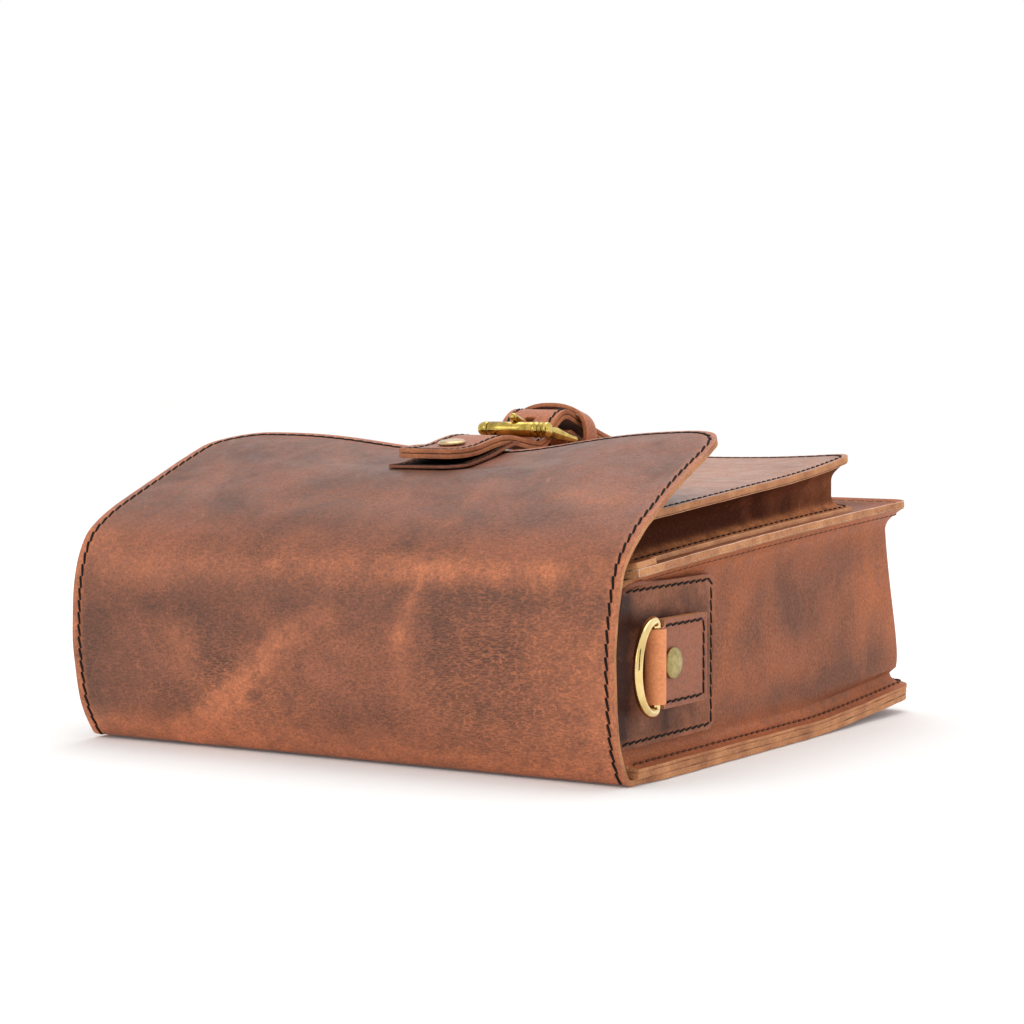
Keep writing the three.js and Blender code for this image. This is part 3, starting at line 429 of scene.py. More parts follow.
def flesh_side(name, dark, light):
    """Back of the hide: short brushed nap, matt, a little lighter in patches."""
    material, tree, place = new_material(name)
    nap = noise(tree, place, 0.0012, 4.0, Roughness=0.75)["Fac"]
    brushed = sums(tree, "ADD", nap, noise(tree, place, 0.016, 3.0)["Fac"])
    colour = mix(tree, remap(tree, brushed, 0.75, 1.25), dark, light)
    surface(tree, {"Base Color": colour, "Roughness": 0.88, "Normal": bump(tree, nap, 0.4, 0.0006),
                   "Sheen Weight": 0.15, "Sheen Roughness": 0.5})
    return material


def waxed_thread(name, dark, light):
    """Waxed polyester thread: twisted strands about 0.4 mm apart, slightly glossy."""
    material, tree, place = new_material(name)
    strand = noise(tree, place, 0.0006, 2.0)["Fac"]
    colour = mix(tree, remap(tree, strand, 0.4, 0.7), dark, light)
    surface(tree, {"Base Color": colour, "Roughness": 0.7, "Normal": bump(tree, strand, 0.5, 0.0003),
                   "Specular IOR Level": 0.2})
    return material


def cast_brass(name, bright, dull, smoothest, roughest, patch):
    """Solid cast brass, tumbled or polished: warm yellow reflections, dulled in patches by handling."""
    material, tree, place = new_material(name)
    tarnish = noise(tree, place, patch, 5.0, Roughness=0.62)["Fac"]
    colour = mix(tree, remap(tree, tarnish, 0.4, 0.66), bright, dull)
    gloss = remap(tree, tarnish, 0.35, 0.7, smoothest, roughest)
    pits = noise(tree, place, 0.0009, 2.0)["Fac"]
    surface(tree, {"Base Color": colour, "Metallic": 1.0, "Roughness": gloss,
                   "Normal": bump(tree, pits, 0.06, 0.0004)})
    return material


def stage_paint(name, colour, inputs):
    """Plain matt paper or felt of the studio."""
    material, tree, _ = new_material(name)
    surface(tree, {"Base Color": linear(colour), **inputs})
    return material


FLAP_LEATHER = pull_up_leather("flap_pull_up_leather", "#5b3422", "#8b5036", "#bb6e47", 0.0016)
BODY_LEATHER = pull_up_leather("body_pull_up_leather", "#744c3b", "#a26144", "#c27146", 0.0013, 0.5, 0.12)
# The pocket's panel: lighter than the body leather, partly its own tone and partly a painted sheen of its
# grazing top
LIT_POCKET_LEATHER = pull_up_leather("pocket_lit_pull_up_leather", "#885843", "#ab7153", "#bd7b54", 0.0013, 0.36)
# The pocket's gusset: a darker copy of the body leather, its dark colour painting the shade in the fold and
# its pale pulled colour partly painting light on the flange
SHADED_FOLD_LEATHER = pull_up_leather("pocket_fold_shaded_leather", "#431d0f", "#8b5037", "#bf7a4f", 0.0013, 0.7, 0.06)
# The side patches: the dark colour paints the shade under the flap's edge at their mouth end
PATCH_LEATHER = pull_up_leather("patch_oiled_leather", "#35180f", "#985f43", "#b06c4b", 0.0012, 0.5, 0.2)
# Patch under the closing strap: nearly black and without gloss inside its edges, a painted shade in the gap
# under the strap
SHADED_FLAP_PATCH_LEATHER = pull_up_leather("flap_patch_leather", "#1c0f0a", "#7c4a34", "#99593d", 0.0012, 0.8, 0.02)
STRAP_LEATHER = pull_up_leather("strap_oiled_leather", "#86492f", "#ab623f", "#c17246", 0.0012, 0.4, 0.4)
TAB_LEATHER_TAN = pull_up_leather("tab_tan_leather", "#c9774e", "#de8758", "#e89562", 0.0011, 0.55, 0.3, 0.15)
EDGE = raw_edge("raw_leather_edge", "#d0915f", "#995d39")
STRAP_EDGE = raw_edge("dyed_leather_edge", "#c47c4f", "#8c4f31")
DARK_EDGE = raw_edge("burnished_leather_edge", "#9a5c42", "#683a28")
# Pale bevel along the front panel's rim: a painted highlight on its cut corners
PAINTED_HIGHLIGHT_EDGE = raw_edge("painted_highlight_leather_edge", "#f6e2cd", "#d9a87f")
# Raw edge of the pocket's flange, paler than the other edges: painted light on an edge that lies in shade
LIT_FLANGE_EDGE = raw_edge("pocket_flange_edge_painted_light", "#e8ac7b", "#b97850")
FLESH = flesh_side("leather_flesh_side", "#5a3828", "#7d5138")
THREAD = waxed_thread("waxed_polyester_thread", "#0b0807", "#201814")
BROWN_THREAD = waxed_thread("waxed_brown_thread", "#4a2a1a", "#70442b")
RING_BRASS = cast_brass("polished_brass", "#f6dc9e", "#d9b870", 0.04, 0.1, 0.02)
BUCKLE_BRASS = cast_brass("handled_brass", "#dcbf66", "#957d38", 0.08, 0.2, 0.006)
CAP_BRASS = cast_brass("aged_brass", "#b5a36e", "#8f7f4f", 0.28, 0.45, 0.004)
SNAP_BRASS = cast_brass("brushed_brass", "#dcbd92", "#b39a70", 0.22, 0.38, 0.004)
STRAP_LAYERS = [STRAP_LEATHER, STRAP_EDGE, FLESH]
BROWN_SEAM = {"pitch": 4.7, "thread": BROWN_THREAD}


# Sheets of leather
def spread(half, middle):
    """Places across a sheet, close together along its two edges."""
    left = [-half + d for d in EDGE_STEPS]
    inner = np.linspace(left[-1], -left[-1], middle + 2)[1:-1]
    return np.array(left + list(inner) + [-x for x in reversed(left)])


def strip_across(half, middle):
    """Places across a narrow strip."""
    left = -half + STRIP_STEPS
    inner = np.linspace(left[-1], -left[-1], middle + 2)[1:-1]
    return np.r_[left, inner, -left[::-1]]


def half_at(y, half, end, corner):
    """Half width of a sheet with rounded corners, at a place along it."""
    into = np.clip(corner - np.abs(end - y), 0, corner)
    return half - corner + np.sqrt(np.maximum(0, corner * corner - into * into))


def ragged(way, seed, amount=0.22):
    """Small unevenness of an edge that was cut by hand."""
    return amount * (0.6 * np.sin(way / 3.1 + seed) + 0.4 * np.sin(way / 1.7 + 2.3 * seed)
                     + 0.6 * np.sin(way / 7.3 + 5.1 * seed))


def groove(edge, inset):
    """How far a line of sewing pulls the leather in, and the puff beside it."""
    pull = GROOVE * np.exp(-((edge - inset) / GROOVE_WIDE) ** 2)
    return pull - PUFF * np.exp(-((edge - inset + PUFF_AWAY) / PUFF_WIDE) ** 2)


def edge_pull(edge, inset, reach=1.4):
    """Wax pulled off beside the sewing and along the raw edge."""
    return np.exp(-(np.maximum(edge - inset, 0) / reach) ** 2)


def seam_line(half, start, end, corner, inset):
    """Line of sewing round three sides of a sheet, as (x, y) about half a millimetre apart."""
    way = 1 if end > start else -1
    reach, turn_y = half - inset, end - way * corner
    count = int(abs(turn_y - start) / 0.5)
    side = [(reach, y) for y in np.linspace(start, turn_y, count)]
    bend = [(half - corner + (corner - inset) * math.cos(a), turn_y + way * (corner - inset) * math.sin(a))
            for a in np.linspace(0, math.pi / 2, 24)[1:]]
    top = [(x, end - way * inset) for x in np.linspace(half - corner, 0, int((half - corner) / 0.5))[1:]]
    right = side + bend + top
    return np.array([(-x, y) for x, y in right] + right[::-1])


def ways(line):
    """Distance along a line at each of its points."""
    return np.r_[0, np.cumsum(np.linalg.norm(np.diff(line, axis=0), axis=1))]


def sample(at, way, line):
    """A line's places at distances along it."""
    return np.stack([np.interp(at, way, column) for column in line.T], -1)


def same_way(line, way):
    """One normal for a whole line."""
    return np.tile(np.array(way, float), (len(line), 1))


def grid_normals(grid, closed=False):
    """Unit normals of a grid of points."""
    if closed:
        along = np.roll(grid, -1, 0) - np.roll(grid, 1, 0)
    else:
        along = np.gradient(grid, axis=0)
    across = np.gradient(grid, axis=1)
    normal = np.cross(across, along)
    return normal / np.maximum(np.linalg.norm(normal, axis=2, keepdims=True), 1e-9)


def own_piece(name, places, faces, materials):
    """A mesh object at the frame's origin from points in the bag's millimetres."""
    placed = np.asarray(places, float).reshape(-1, 3) - [0, MOUTH_SHIFT, 0]
    mesh = bpy.data.meshes.new(name)
    mesh.from_pydata((placed * MM).tolist(), [], faces)
    mesh.update()
    piece = bpy.data.objects.new(name, mesh)
    bpy.context.scene.collection.objects.link(piece)
    for material in materials:
        mesh.materials.append(material)
    return piece


def leather_sheet(name, rows, facing, thickness, materials, closed=False, gap=None, pared=None,
                  highlight_edge=None):
    """Rows of (points on the grain side, pulled, clouded, wrinkled), made a sheet with raw edges.
    facing is the way out in the middle of the grid, gap tells which faces to leave out, pared is the
    share of the thickness that is taken off, and the last argument is a pale material whose bevel paints a
    highlight on the corners."""
    grid = np.array([row[0] for row in rows])
    count, columns = grid.shape[:2]
    flip = float(np.dot(grid_normals(grid, closed)[count // 2, columns // 2], facing)) < 0
    faces = []
    for i in range(count if closed else count - 1):
        for j in range(columns - 1):
            corners = [(i, j), (i, j + 1), ((i + 1) % count, j + 1), ((i + 1) % count, j)]
            if gap is not None and gap(np.mean([grid[c] for c in corners], axis=0)):
                continue
            face = [a * columns + b for a, b in corners]
            faces.append(face[::-1] if flip else face)
    piece = own_piece(f"{name}_leather", grid, faces, materials)
    for k, key in enumerate(WEAR_AND_SHADE):
        value = [np.clip(row[k + 1] + np.zeros(columns), 0, 1) for row in rows]
        store = piece.data.attributes.new(key, "FLOAT", "POINT")
        store.data.foreach_set("value", np.asarray(value, np.float32).ravel())
    activate(piece)
    bpy.ops.object.mode_set(mode="EDIT")
    bpy.ops.mesh.select_all(action="SELECT")
    bpy.ops.mesh.delete_loose()
    bpy.ops.object.mode_set(mode="OBJECT")
    solid = piece.modifiers.new("thickness", "SOLIDIFY")
    solid.thickness = thickness * MM
    solid.offset = -1
    solid.use_even_offset = True
    solid.material_offset_rim = 1
    solid.material_offset = 2
    if pared is not None:
        kept = piece.vertex_groups.new(name="kept_thickness")
        for index, share in enumerate(np.ravel(pared)):
            kept.add([index], 1 - float(share), "REPLACE")
        solid.vertex_group = kept.name
    bpy.ops.object.modifier_apply(modifier=solid.name)
    # The cut corners are bevelled; where a pale edge material is given, the bevel is a painted highlight
    worn = piece.modifiers.new("worn_edge", "BEVEL")
    worn.width = (HIGHLIGHT_WIDTH if highlight_edge else WORN_EDGE) * MM
    worn.segments = 2
    worn.limit_method = "ANGLE"
    worn.angle_limit = math.radians(SHARP)
    if highlight_edge:
        worn.material = len(piece.data.materials)
        piece.data.materials.append(highlight_edge)
    bpy.ops.object.modifier_apply(modifier=worn.name)
    bpy.ops.object.shade_smooth_by_angle(angle=math.radians(SHEET_SMOOTH))
    return piece


# A stitch along its length: place, thickness and rise as shares of its length and width
STITCH = [(-0.5, 0.7, -0.16), (-0.43, 0.97, 0.02), (-0.2, 1, 0.1), (0.2, 1, 0.1), (0.43, 0.97, 0.02),
          (0.5, 0.7, -0.16)]
STITCH_SIDES = 6


def sew(name, slot, run, pitch=STITCH_PITCH, share=1.04, width=1.12, slant=12, sink=0.12, thread=THREAD):
    """A line of thread, each stitch a short rounded bar that dips into the leather at both ends.
    A run is (points, normals) in order along the line."""
    line, normals = run
    places, faces, sides = [], [], STITCH_SIDES
    cos, sin = math.cos(math.radians(slant)), math.sin(math.radians(slant))
    way = ways(line)
    total = max(1, int(way[-1] / pitch))
    step = way[-1] / total
    for at in (np.arange(total) + 0.5) * step:
        spot = sample(at, way, line)
        up = sample(at, way, normals)
        up /= np.linalg.norm(up)
        along = sample(min(at + 1, way[-1]), way, line) - sample(max(at - 1, 0), way, line)
        along -= up * np.dot(along, up)
        along /= np.linalg.norm(along)
        aside = np.cross(up, along)
        along, aside = along * cos + aside * sin, aside * cos - along * sin
        first = len(places)
        for place, thick, rise in STITCH:
            centre = spot + along * place * step * share + up * (rise * width - sink)
            for turn in 2 * math.pi * np.arange(sides) / sides:
                places.append(centre + width / 2 * thick * (aside * math.cos(turn) + up * math.sin(turn)))
        last = first + (len(STITCH) - 1) * sides
        for ring in range(first, last, sides):
            for s in range(sides):
                a, b = ring + s, ring + (s + 1) % sides
                faces.append([a, b, b + sides, a + sides])
        faces.append([first + s for s in reversed(range(sides))])
        faces.append([last + s for s in range(sides)])
    piece = own_piece(name, places, faces, [thread])
    activate(piece)
    bpy.ops.object.shade_smooth_by_angle(angle=math.radians(STITCH_SMOOTH))
    keep(piece, slot)


# Flap and outer back, one sheet
def through(rows, t):
    """Smooth line through rows of a table at t from 0 to 1."""
    count = len(rows) - 1
    place = np.clip(t, 0, 1) * count
    i = np.minimum(place.astype(int), count - 1)
    w = (place - i)[..., None]
    ends = np.vstack([2 * rows[0] - rows[1], rows, 2 * rows[-1] - rows[-2]])
    before, first, second, after = ends[i], ends[i + 1], ends[i + 2], ends[i + 3]
    out, into = (second - before) / 2, (after - first) / 2
    return (first + out * w + (3 * second - 3 * first - 2 * out - into) * w ** 2
            + (2 * first - 2 * second + out + into) * w ** 3)


def flap_point(t, x):
    """Place on the flap's grain side at a share of its section and a distance from its middle."""
    t, x = np.broadcast_arrays(np.asarray(t, float), np.asarray(x, float))
    left, middle, right = (through(FLAP_SECTIONS[:, k:k + 2], t) for k in (0, 2, 4))
    share = ((1 + np.sign(x) * np.abs(x / FLAP_HALF) ** 1.3) / 2)[..., None]
    bow = 1 - (x / FLAP_HALF) ** 2
    dip = np.exp(-0.5 * np.abs(x / FLAP_DIP) ** 2.4)
    lean = left * (1 - share) + right * share
    bulge = middle - (left + right) / 2
    y = lean[..., 0] + bulge[..., 0] * bow
    z = np.maximum(0, lean[..., 1] + bulge[..., 1] * dip)
    return np.stack([x, y, z], -1)


def flap_normal(t, x):
    t, x = np.broadcast_arrays(np.asarray(t, float), np.asarray(x, float))
    along = flap_point(np.minimum(t + 0.002, 1), x) - flap_point(np.maximum(t - 0.002, 0), x)
    across = flap_point(t, x + 1) - flap_point(t, x - 1)
    normal = np.cross(across, along)
    return normal / np.linalg.norm(normal, axis=-1, keepdims=True)


FLAP_T = np.linspace(0, 1, 801)
FLAP_S = ways(flap_point(FLAP_T, 0))
flap_left = through(FLAP_SECTIONS[:, 0:2], FLAP_T)
FLAP_FRONT = np.linalg.norm(flap_left - flap_left[-1], axis=1)


def flap_at_front(distance):
    """Place on the flap at a distance in from its front edge."""
    return np.interp(distance, FLAP_FRONT[::-1], FLAP_T[::-1])


def streaks(x, s):
    """Where the flap's wax has been pulled."""
    pulled = np.zeros_like(x)
    for (x0, s0), (x1, s1), wide, strength in PULLED:
        way = np.array([x1 - x0, s1 - s0], float)
        t = np.clip(((x - x0) * way[0] + (s - s0) * way[1]) / max(way @ way, 1e-6), 0, 1)
        off = np.hypot(x - x0 - t * way[0], s - s0 - t * way[1])
        pulled = pulled + strength * np.exp(-(off / wide) ** 2)
    return np.clip(pulled, 0, 1)


def back_row(y):
    """One row of the outer back, with its wear."""
    x = spread(half_at(y, HALF_WIDTH, BACK_END + OPEN, CORNER) + ragged(y, 0.4), FLAP_COLUMNS)
    edge = edge_distance(x, y, HALF_WIDTH, BACK_END, CORNER)
    z = back_low(y) + BACK_GROOVE * groove(edge, SEAM_INSET) * (edge > BACK_PUFF_END)
    pulled = 0.55 * edge_pull(edge, SEAM_INSET) + blots(x, y, BACK_PULLED)
    return points(x, y, np.maximum(z, back_low(y))), pulled, blots(x, y, BACK_CLOUDED), 0.15


def flap_row(t):
    """One row of the flap, with its wear."""
    front = float(np.interp(t, FLAP_T, FLAP_FRONT))
    s = float(np.interp(t, FLAP_T, FLAP_S))
    x = spread(half_at(front, FLAP_HALF, -OPEN, FLAP_CORNER) + 0.6 * ragged(front, 1.7), FLAP_COLUMNS)
    edge = edge_distance(x, front, FLAP_HALF, 0, FLAP_CORNER)
    # Soft dents: the slanting fold low on the left and shallow waves across
    ridge = 0.55 * np.exp(-((0.55 * (x + 40) - 0.835 * (s - 42)) / 7) ** 2 - ((s - 38) / 26) ** 2)
    wave = 0.35 * np.sin(x / 31 + 0.6) * np.sin(s / 37 + 0.4)
    rise = (ridge + wave) * smooth(edge / 20) * smooth((s - 22) / 20) - groove(edge, FLAP_INSET)
    point = flap_point(t, x) + flap_normal(t, x) * rise[:, None]
    point[:, 0] = x
    point[:, 2] = np.maximum(point[:, 2], 0)
    sewn = edge_pull(edge, FLAP_INSET)
    clouded = np.clip(blots(x, s, CLOUDED), 0, 1) * (1 - 0.7 * sewn)
    return point, streaks(x, s) + 0.75 * sewn, clouded, 0.22 + blots(x, s, WRINKLED)


def flap_piece():
    far = [BACK_END - d for d in EDGE_STEPS]
    back = np.r_[far, np.linspace(far[-1], BACK_TURN, 52)[1:]]
    curve = np.r_[np.linspace(0, flap_at_front(FLAP_CORNER), 110)[:-1], flap_at_front(FRONT_STEPS)]
    rows = [back_row(y) for y in back] + [flap_row(t) for t in curve]
    piece = leather_sheet("flap", rows, (0, -1, 0.2), LEATHER, [FLAP_LEATHER, EDGE, FLESH])
    keep(piece, "flap_leather", "flap")


def flap_sewing():
    reach, turn = FLAP_HALF - FLAP_INSET, FLAP_CORNER - FLAP_INSET
    side = [(reach, t) for t in np.linspace(FLAP_SEWN_FROM, flap_at_front(FLAP_CORNER), 500)]
    bend = [(FLAP_HALF - FLAP_CORNER + turn * math.cos(a), flap_at_front(FLAP_CORNER - turn * math.sin(a)))
            for a in np.linspace(0, math.pi / 2, 40)[1:]]
    front = [(x, flap_at_front(FLAP_INSET)) for x in np.linspace(FLAP_HALF - FLAP_CORNER, 0, 220)[1:]]
    right = side + bend + front
    x, t = np.array([(-x, t) for x, t in right] + right[::-1]).T
    up = flap_normal(t, x)
    sew("flap_sewing", "flap_leather", (flap_point(t, x) - up * GROOVE * 0.6, up))
    x, y = seam_line(HALF_WIDTH, BACK_SEWN_FROM, BACK_END, CORNER, SEAM_INSET).T
    low = points(x, y, back_low(y) + BACK_THREAD_RISE)
    sew("back_sewing", "flap_leather", (low, same_way(low, (0, 0, -1))), sink=0)


flap_piece()
flap_sewing()


# Panels
def panel_piece(name, slot, half, start, end, corner, top, material, inset, thickness=SNUG, sewn=True,
                cloud=0.2, seed=1.0, uneven=0.22, highlight_edge=None):
    middle = max(3, int((end - start) / 2.4))
    stops = np.r_[start, start + 0.8, np.linspace(start + 2, end - EDGE_STEPS[-1], middle)[:-1],
                  [end - d for d in reversed(EDGE_STEPS)]]
    rows = []
    for y in stops:
        x = spread(half_at(y, half, end + OPEN, corner) + ragged(y, seed, uneven), PANEL_COLUMNS)
        edge = edge_distance(x, y, half, end, corner)
        sunk = groove(edge, inset) if sewn else 0
        pulled = 0.5 * edge_pull(edge, inset) + blots(x, y, PANEL_PULLED)
        rows.append((points(x, y, top(y, x) - sunk), pulled, cloud, 0.15))
    piece = leather_sheet(name, rows, (0, 0, 1), thickness, [material, EDGE, FLESH], highlight_edge=highlight_edge)
    keep(piece, slot, name)


def panel_run(half, start, end, corner, height, up, inset, sunk=THREAD_SINK, tilt=0):
    """Line of sewing round a panel and its normals, which tilt outwards by an angle in degrees."""
    line = seam_line(half, start, end, corner, inset)
    x, y = line.T
    along = np.gradient(line, axis=0)
    along /= np.linalg.norm(along, axis=1, keepdims=True)
    cos, sin = math.cos(math.radians(tilt)), math.sin(math.radians(tilt))
    return points(x, y, height(y, x) - up * sunk), points(-along[:, 1] * sin, along[:, 0] * sin, up * cos)


panel_piece("back_panel", "body_leather", HALF_WIDTH, MOUTH, BACK_END, CORNER, back_top, BODY_LEATHER,
            SEAM_INSET, sewn=False, seed=2.1)
# The front panel's rim gets the pale bevel, a painted highlight along its cut edge
panel_piece("front_panel", "body_leather", HALF_WIDTH, MOUTH, FRONT_END, CORNER, front_top, BODY_LEATHER,
            SEAM_INSET, thickness=LEATHER + RIM, seed=3.3, highlight_edge=PAINTED_HIGHLIGHT_EDGE)
panel_piece("pocket_panel", "pocket_leather", POCKET_HALF, POCKET_START, POCKET_END, POCKET_CORNER,
            pocket_top, LIT_POCKET_LEATHER, POCKET_INSET, thickness=LEATHER + POCKET_RIM, cloud=0.1, seed=4.2,
            uneven=0.3)
panel_piece("front_top_band", "body_leather", BAND_HALF, MOUTH, BAND_END, BAND_CORNER, pocket_base_top,
            BODY_LEATHER, SEAM_INSET, sewn=False, seed=5.5)
sew("front_sewing", "body_leather",
    panel_run(HALF_WIDTH, FRONT_SEWN_FROM, FRONT_END, CORNER, front_top, 1, SEAM_INSET),
    share=0.8, width=0.8, sink=0.25, **BROWN_SEAM)
sew("pocket_sewing", "pocket_leather", panel_run(POCKET_HALF, POCKET_START + 2, POCKET_END, POCKET_CORNER,
                                                 pocket_top, 1, POCKET_INSET), pitch=4.6)


# Gussets
def open_outline(half, start, end, corner):
    """Line round three sides of the bag, from the mouth over the bottom and back."""
    side = [(half, y) for y in np.linspace(start, end - corner, 60)[:-1]]
    bend = [(half - corner + corner * math.cos(a), end - corner + corner * math.sin(a))
            for a in np.linspace(0, math.pi / 2, 13)]
    base = [(x, end) for x in np.linspace(half - corner, 0, 34)[1:]]
    right = side + bend + base
    return np.array(right + [(-x, y) for x, y in right[::-1][1:]])


def gusset_profile(height, reach_low, reach_high, swell, fold_low, fold_high):
    """(out, up) from the edge of the lower seam over the wall to the edge of the upper one."""
    flat = np.linspace(0, 1, 9)[1:]
    low = [(fold_low + (reach_low - fold_low) * t, 0) for t in flat[::-1]]
    low += [(fold_low + fold_low * math.cos(a), fold_low + fold_low * math.sin(a))
            for a in np.linspace(1.5 * math.pi, math.pi, 9)]
    wall = [(swell * wall_bulge(t), fold_low + (height - fold_low - fold_high) * t)
            for t in np.linspace(0, 1, 27)[1:-1]]
    high = [(fold_high + fold_high * math.cos(a), height - fold_high + fold_high * math.sin(a))
            for a in np.linspace(math.pi, math.pi / 2, 9)]
    high += [(fold_high + (reach_high - fold_high) * t, height) for t in flat]
    return np.array(low + wall + high)


def gusset_piece(name, material, wall, low, high, low_height, high_height, swell, lean, folds, wear, skived,
                 bowed=False, seed=1.0, raw=EDGE):
    """A gusset from its wall's outline (half, start, end, corner) and its seams' (half, end, corner)."""
    start, end = wall[1:3]
    feet = open_outline(*wall)
    lows, highs = (open_outline(half, start, far, corner) for half, far, corner in (low, high))
    rows, pared = [], []
    run = 0.0
    for k, (foot, edge_low, edge_high) in enumerate(zip(feet, lows, highs)):
        run += float(np.linalg.norm(foot - feet[max(0, k - 1)]))
        head = foot + [0, lean * smooth((foot[1] - start) / (end - start))]
        out_low, out_high = edge_low - foot, edge_high - head
        reach_low, reach_high = np.linalg.norm(out_low), np.linalg.norm(out_high)
        height = high_height(foot[1], foot[0]) - low_height(foot[1], foot[0])
        fold_low, fold_high = folds(foot[1])
        out, up = gusset_profile(height, reach_low + ragged(run, seed), reach_high + ragged(run, seed + 3),
                                 swell(foot[1]), fold_low, fold_high).T
        share = np.clip(up / height, 0, 1)
        t = share[:, None]
        way = out_low / reach_low * (1 - t) + out_high / reach_high * t
        way /= np.linalg.norm(way, axis=1, keepdims=True)
        x, y = (foot * (1 - t) + head * t + way * out[:, None]).T
        floor = low_height(y, x)
        z = floor + up + (high_height(y, x) - floor - height) * share
        thin_low = np.where(up < fold_low, skive(reach_low - out, skived[0]), 0)
        thin_high = np.where(up > height - fold_high, skive(reach_high - out, skived[1]), 0)
        bow = mouth_bow(y, share) if bowed else 0
        place = points(x, y - bow, z + (thin_high - thin_low) * SNUG)
        rows.append((place, *wear(abs(foot[0]), y, up / height)))
        pared.append(thin_low + thin_high)
    piece = leather_sheet(name, rows, (0, 1, 0), SNUG, [material, raw, FLESH], pared=np.array(pared))
    keep(piece, "body_leather", name)


def main_wear(aside, y, share):
    """Clouded in the middle of the side, pulled along the seams, and lighter towards the far end, partly
    pulled wax and partly a painted highlight.
    """
    pulled = 0.45 * (np.exp(-(share / 0.09) ** 2) + np.exp(-((share - 1) / 0.09) ** 2))
    if aside <= WALL - 20:
        return pulled, 0, 0.12
    slanting = 0.45 * np.exp(-((y - 88 - 22 * (share - 0.6)) / 7) ** 2 - ((share - 0.68) / 0.28) ** 2)
    return pulled + blots(y, share, SIDE_PULLED_AND_LIT) + slanting, blots(y, share, SIDE_CLOUDED), 0.12


def pocket_shade_and_wear(aside, y, share):
    """Painted shade in the fold, darkest near the mouth and lighter towards the bottom; the flange that shows
    is pulled lighter, partly as wear and partly as painted light.
    """
    shade = 0.85 - 0.65 * smooth((y - 60) / 120)
    flange = np.exp(-(share / 0.12) ** 2)
    pulled = 0.2 * smooth((y - 150) / 50) + flange * (0.6 + 0.4 * smooth((y - 40) / 80))
    return pulled, shade * (1 - 0.7 * flange), 0.1


def front_flange(y, x):
    """Grain side of the main gusset's upper flange where it is sewn."""
    fold = main_folds(y)[1]
    off = np.maximum(fold - SEAM + SEAM_INSET, 0)
    drop = fold - np.sqrt(fold ** 2 - off ** 2)
    return front_seam_low(y, x) - drop + skive(SEAM_INSET, MAIN_SKIVE[1]) * SNUG


def pared_base(y, x):
    """Grain side of the pocket gusset's lower flange where it is sewn."""
    return pocket_base_top(y, x) - skive(BASE_INSET, POCKET_SKIVE[0]) * SNUG


POCKET_FOOT, POCKET_REAR = POCKET_HALF - POCKET_SEAM, POCKET_END - POCKET_SEAM
gusset_piece("main_gusset", BODY_LEATHER, (WALL, MOUTH, BACK_END - BASE_SEAM, GUSSET_CORNER),
             (HALF_WIDTH, BACK_END, CORNER), (HALF_WIDTH, FRONT_END, CORNER), back_seam_top, front_seam_low,
             gusset_swell, FRONT_END - SEAM - (BACK_END - BASE_SEAM), main_folds, main_wear,
             MAIN_SKIVE, bowed=True, seed=6.1)
# The pocket's gusset takes painted shade and light from its material, its wear and its pale flange edge
gusset_piece("pocket_gusset", SHADED_FOLD_LEATHER, (POCKET_FOOT, POCKET_START, POCKET_REAR, GUSSET_CORNER),
             (POCKET_FOOT + POCKET_BASE, POCKET_REAR + POCKET_BASE, CORNER),
             (POCKET_HALF, POCKET_END, POCKET_CORNER), pocket_base_top, pocket_seam_low,
             pocket_swell, 0, pocket_folds, pocket_shade_and_wear, POCKET_SKIVE, seed=7.7, raw=LIT_FLANGE_EDGE)
sew("gusset_sewing", "body_leather",
    panel_run(HALF_WIDTH, GUSSET_SEWN_FROM, BACK_END + 2, CORNER, back_seam_top, 1, SEAM_INSET,
              sunk=FLANGE_SINK),
    share=0.9, width=1.05, **BROWN_SEAM)
sew("rim_sewing", "body_leather",
    panel_run(HALF_WIDTH, GUSSET_SEWN_FROM, FRONT_END, CORNER, front_flange, -1, SEAM_INSET,
              sunk=FLANGE_SINK, tilt=RIM_TILT),
    share=0.7, width=0.8, **BROWN_SEAM)
sew("pocket_base_sewing", "body_leather",
    panel_run(POCKET_FOOT + POCKET_BASE, POCKET_START + 1, POCKET_REAR + POCKET_BASE, CORNER, pared_base, 1,
              BASE_INSET, sunk=0), width=0.95, pitch=4.65)


# Patches, tabs and rings at the sides
def wall_out(y, z):
    """How far the gusset's wall stands out at a place on the bag's side, and its share of the height."""
    low = back_seam_top(y)
    height = front_seam_low(y, WALL) - low
    up = np.clip(z - low, 0.01, height - 0.01)
    under, over = main_folds(y)
    share = np.clip((up - under) / (height - under - over), 0, 1)
    foot, head = np.clip(under - up, 0, None), np.clip(over - height + up, 0, None)
    folds = under - np.sqrt(under ** 2 - foot ** 2) + over - np.sqrt(over ** 2 - head ** 2)
    return gusset_swell(y) * wall_bulge(share) + folds, up / height


PATCH_MIDDLE = (PATCH_LOW + PATCH_HIGH) / 2
PATCH_HALF = (PATCH_HIGH - PATCH_LOW) / 2
tab_face = WALL + gusset_swell(0) + GAP + THIN + GAP
ring_x = tab_face + TAB_LEATHER + GAP + RING_WIRE
tab_top = tab_face + 2 * TAB_LEATHER + GAP


def patch_points(mirror, y, across, sunk):
    """Places on a side patch's grain side, sunk into it by a distance."""
    z = PATCH_MIDDLE + across
    out, share = wall_out(y, z)
    x = WALL + np.maximum(out, PATCH_OUT) + GAP + THIN - sunk
    return points(mirror * x, y - mouth_bow(y, share), z)


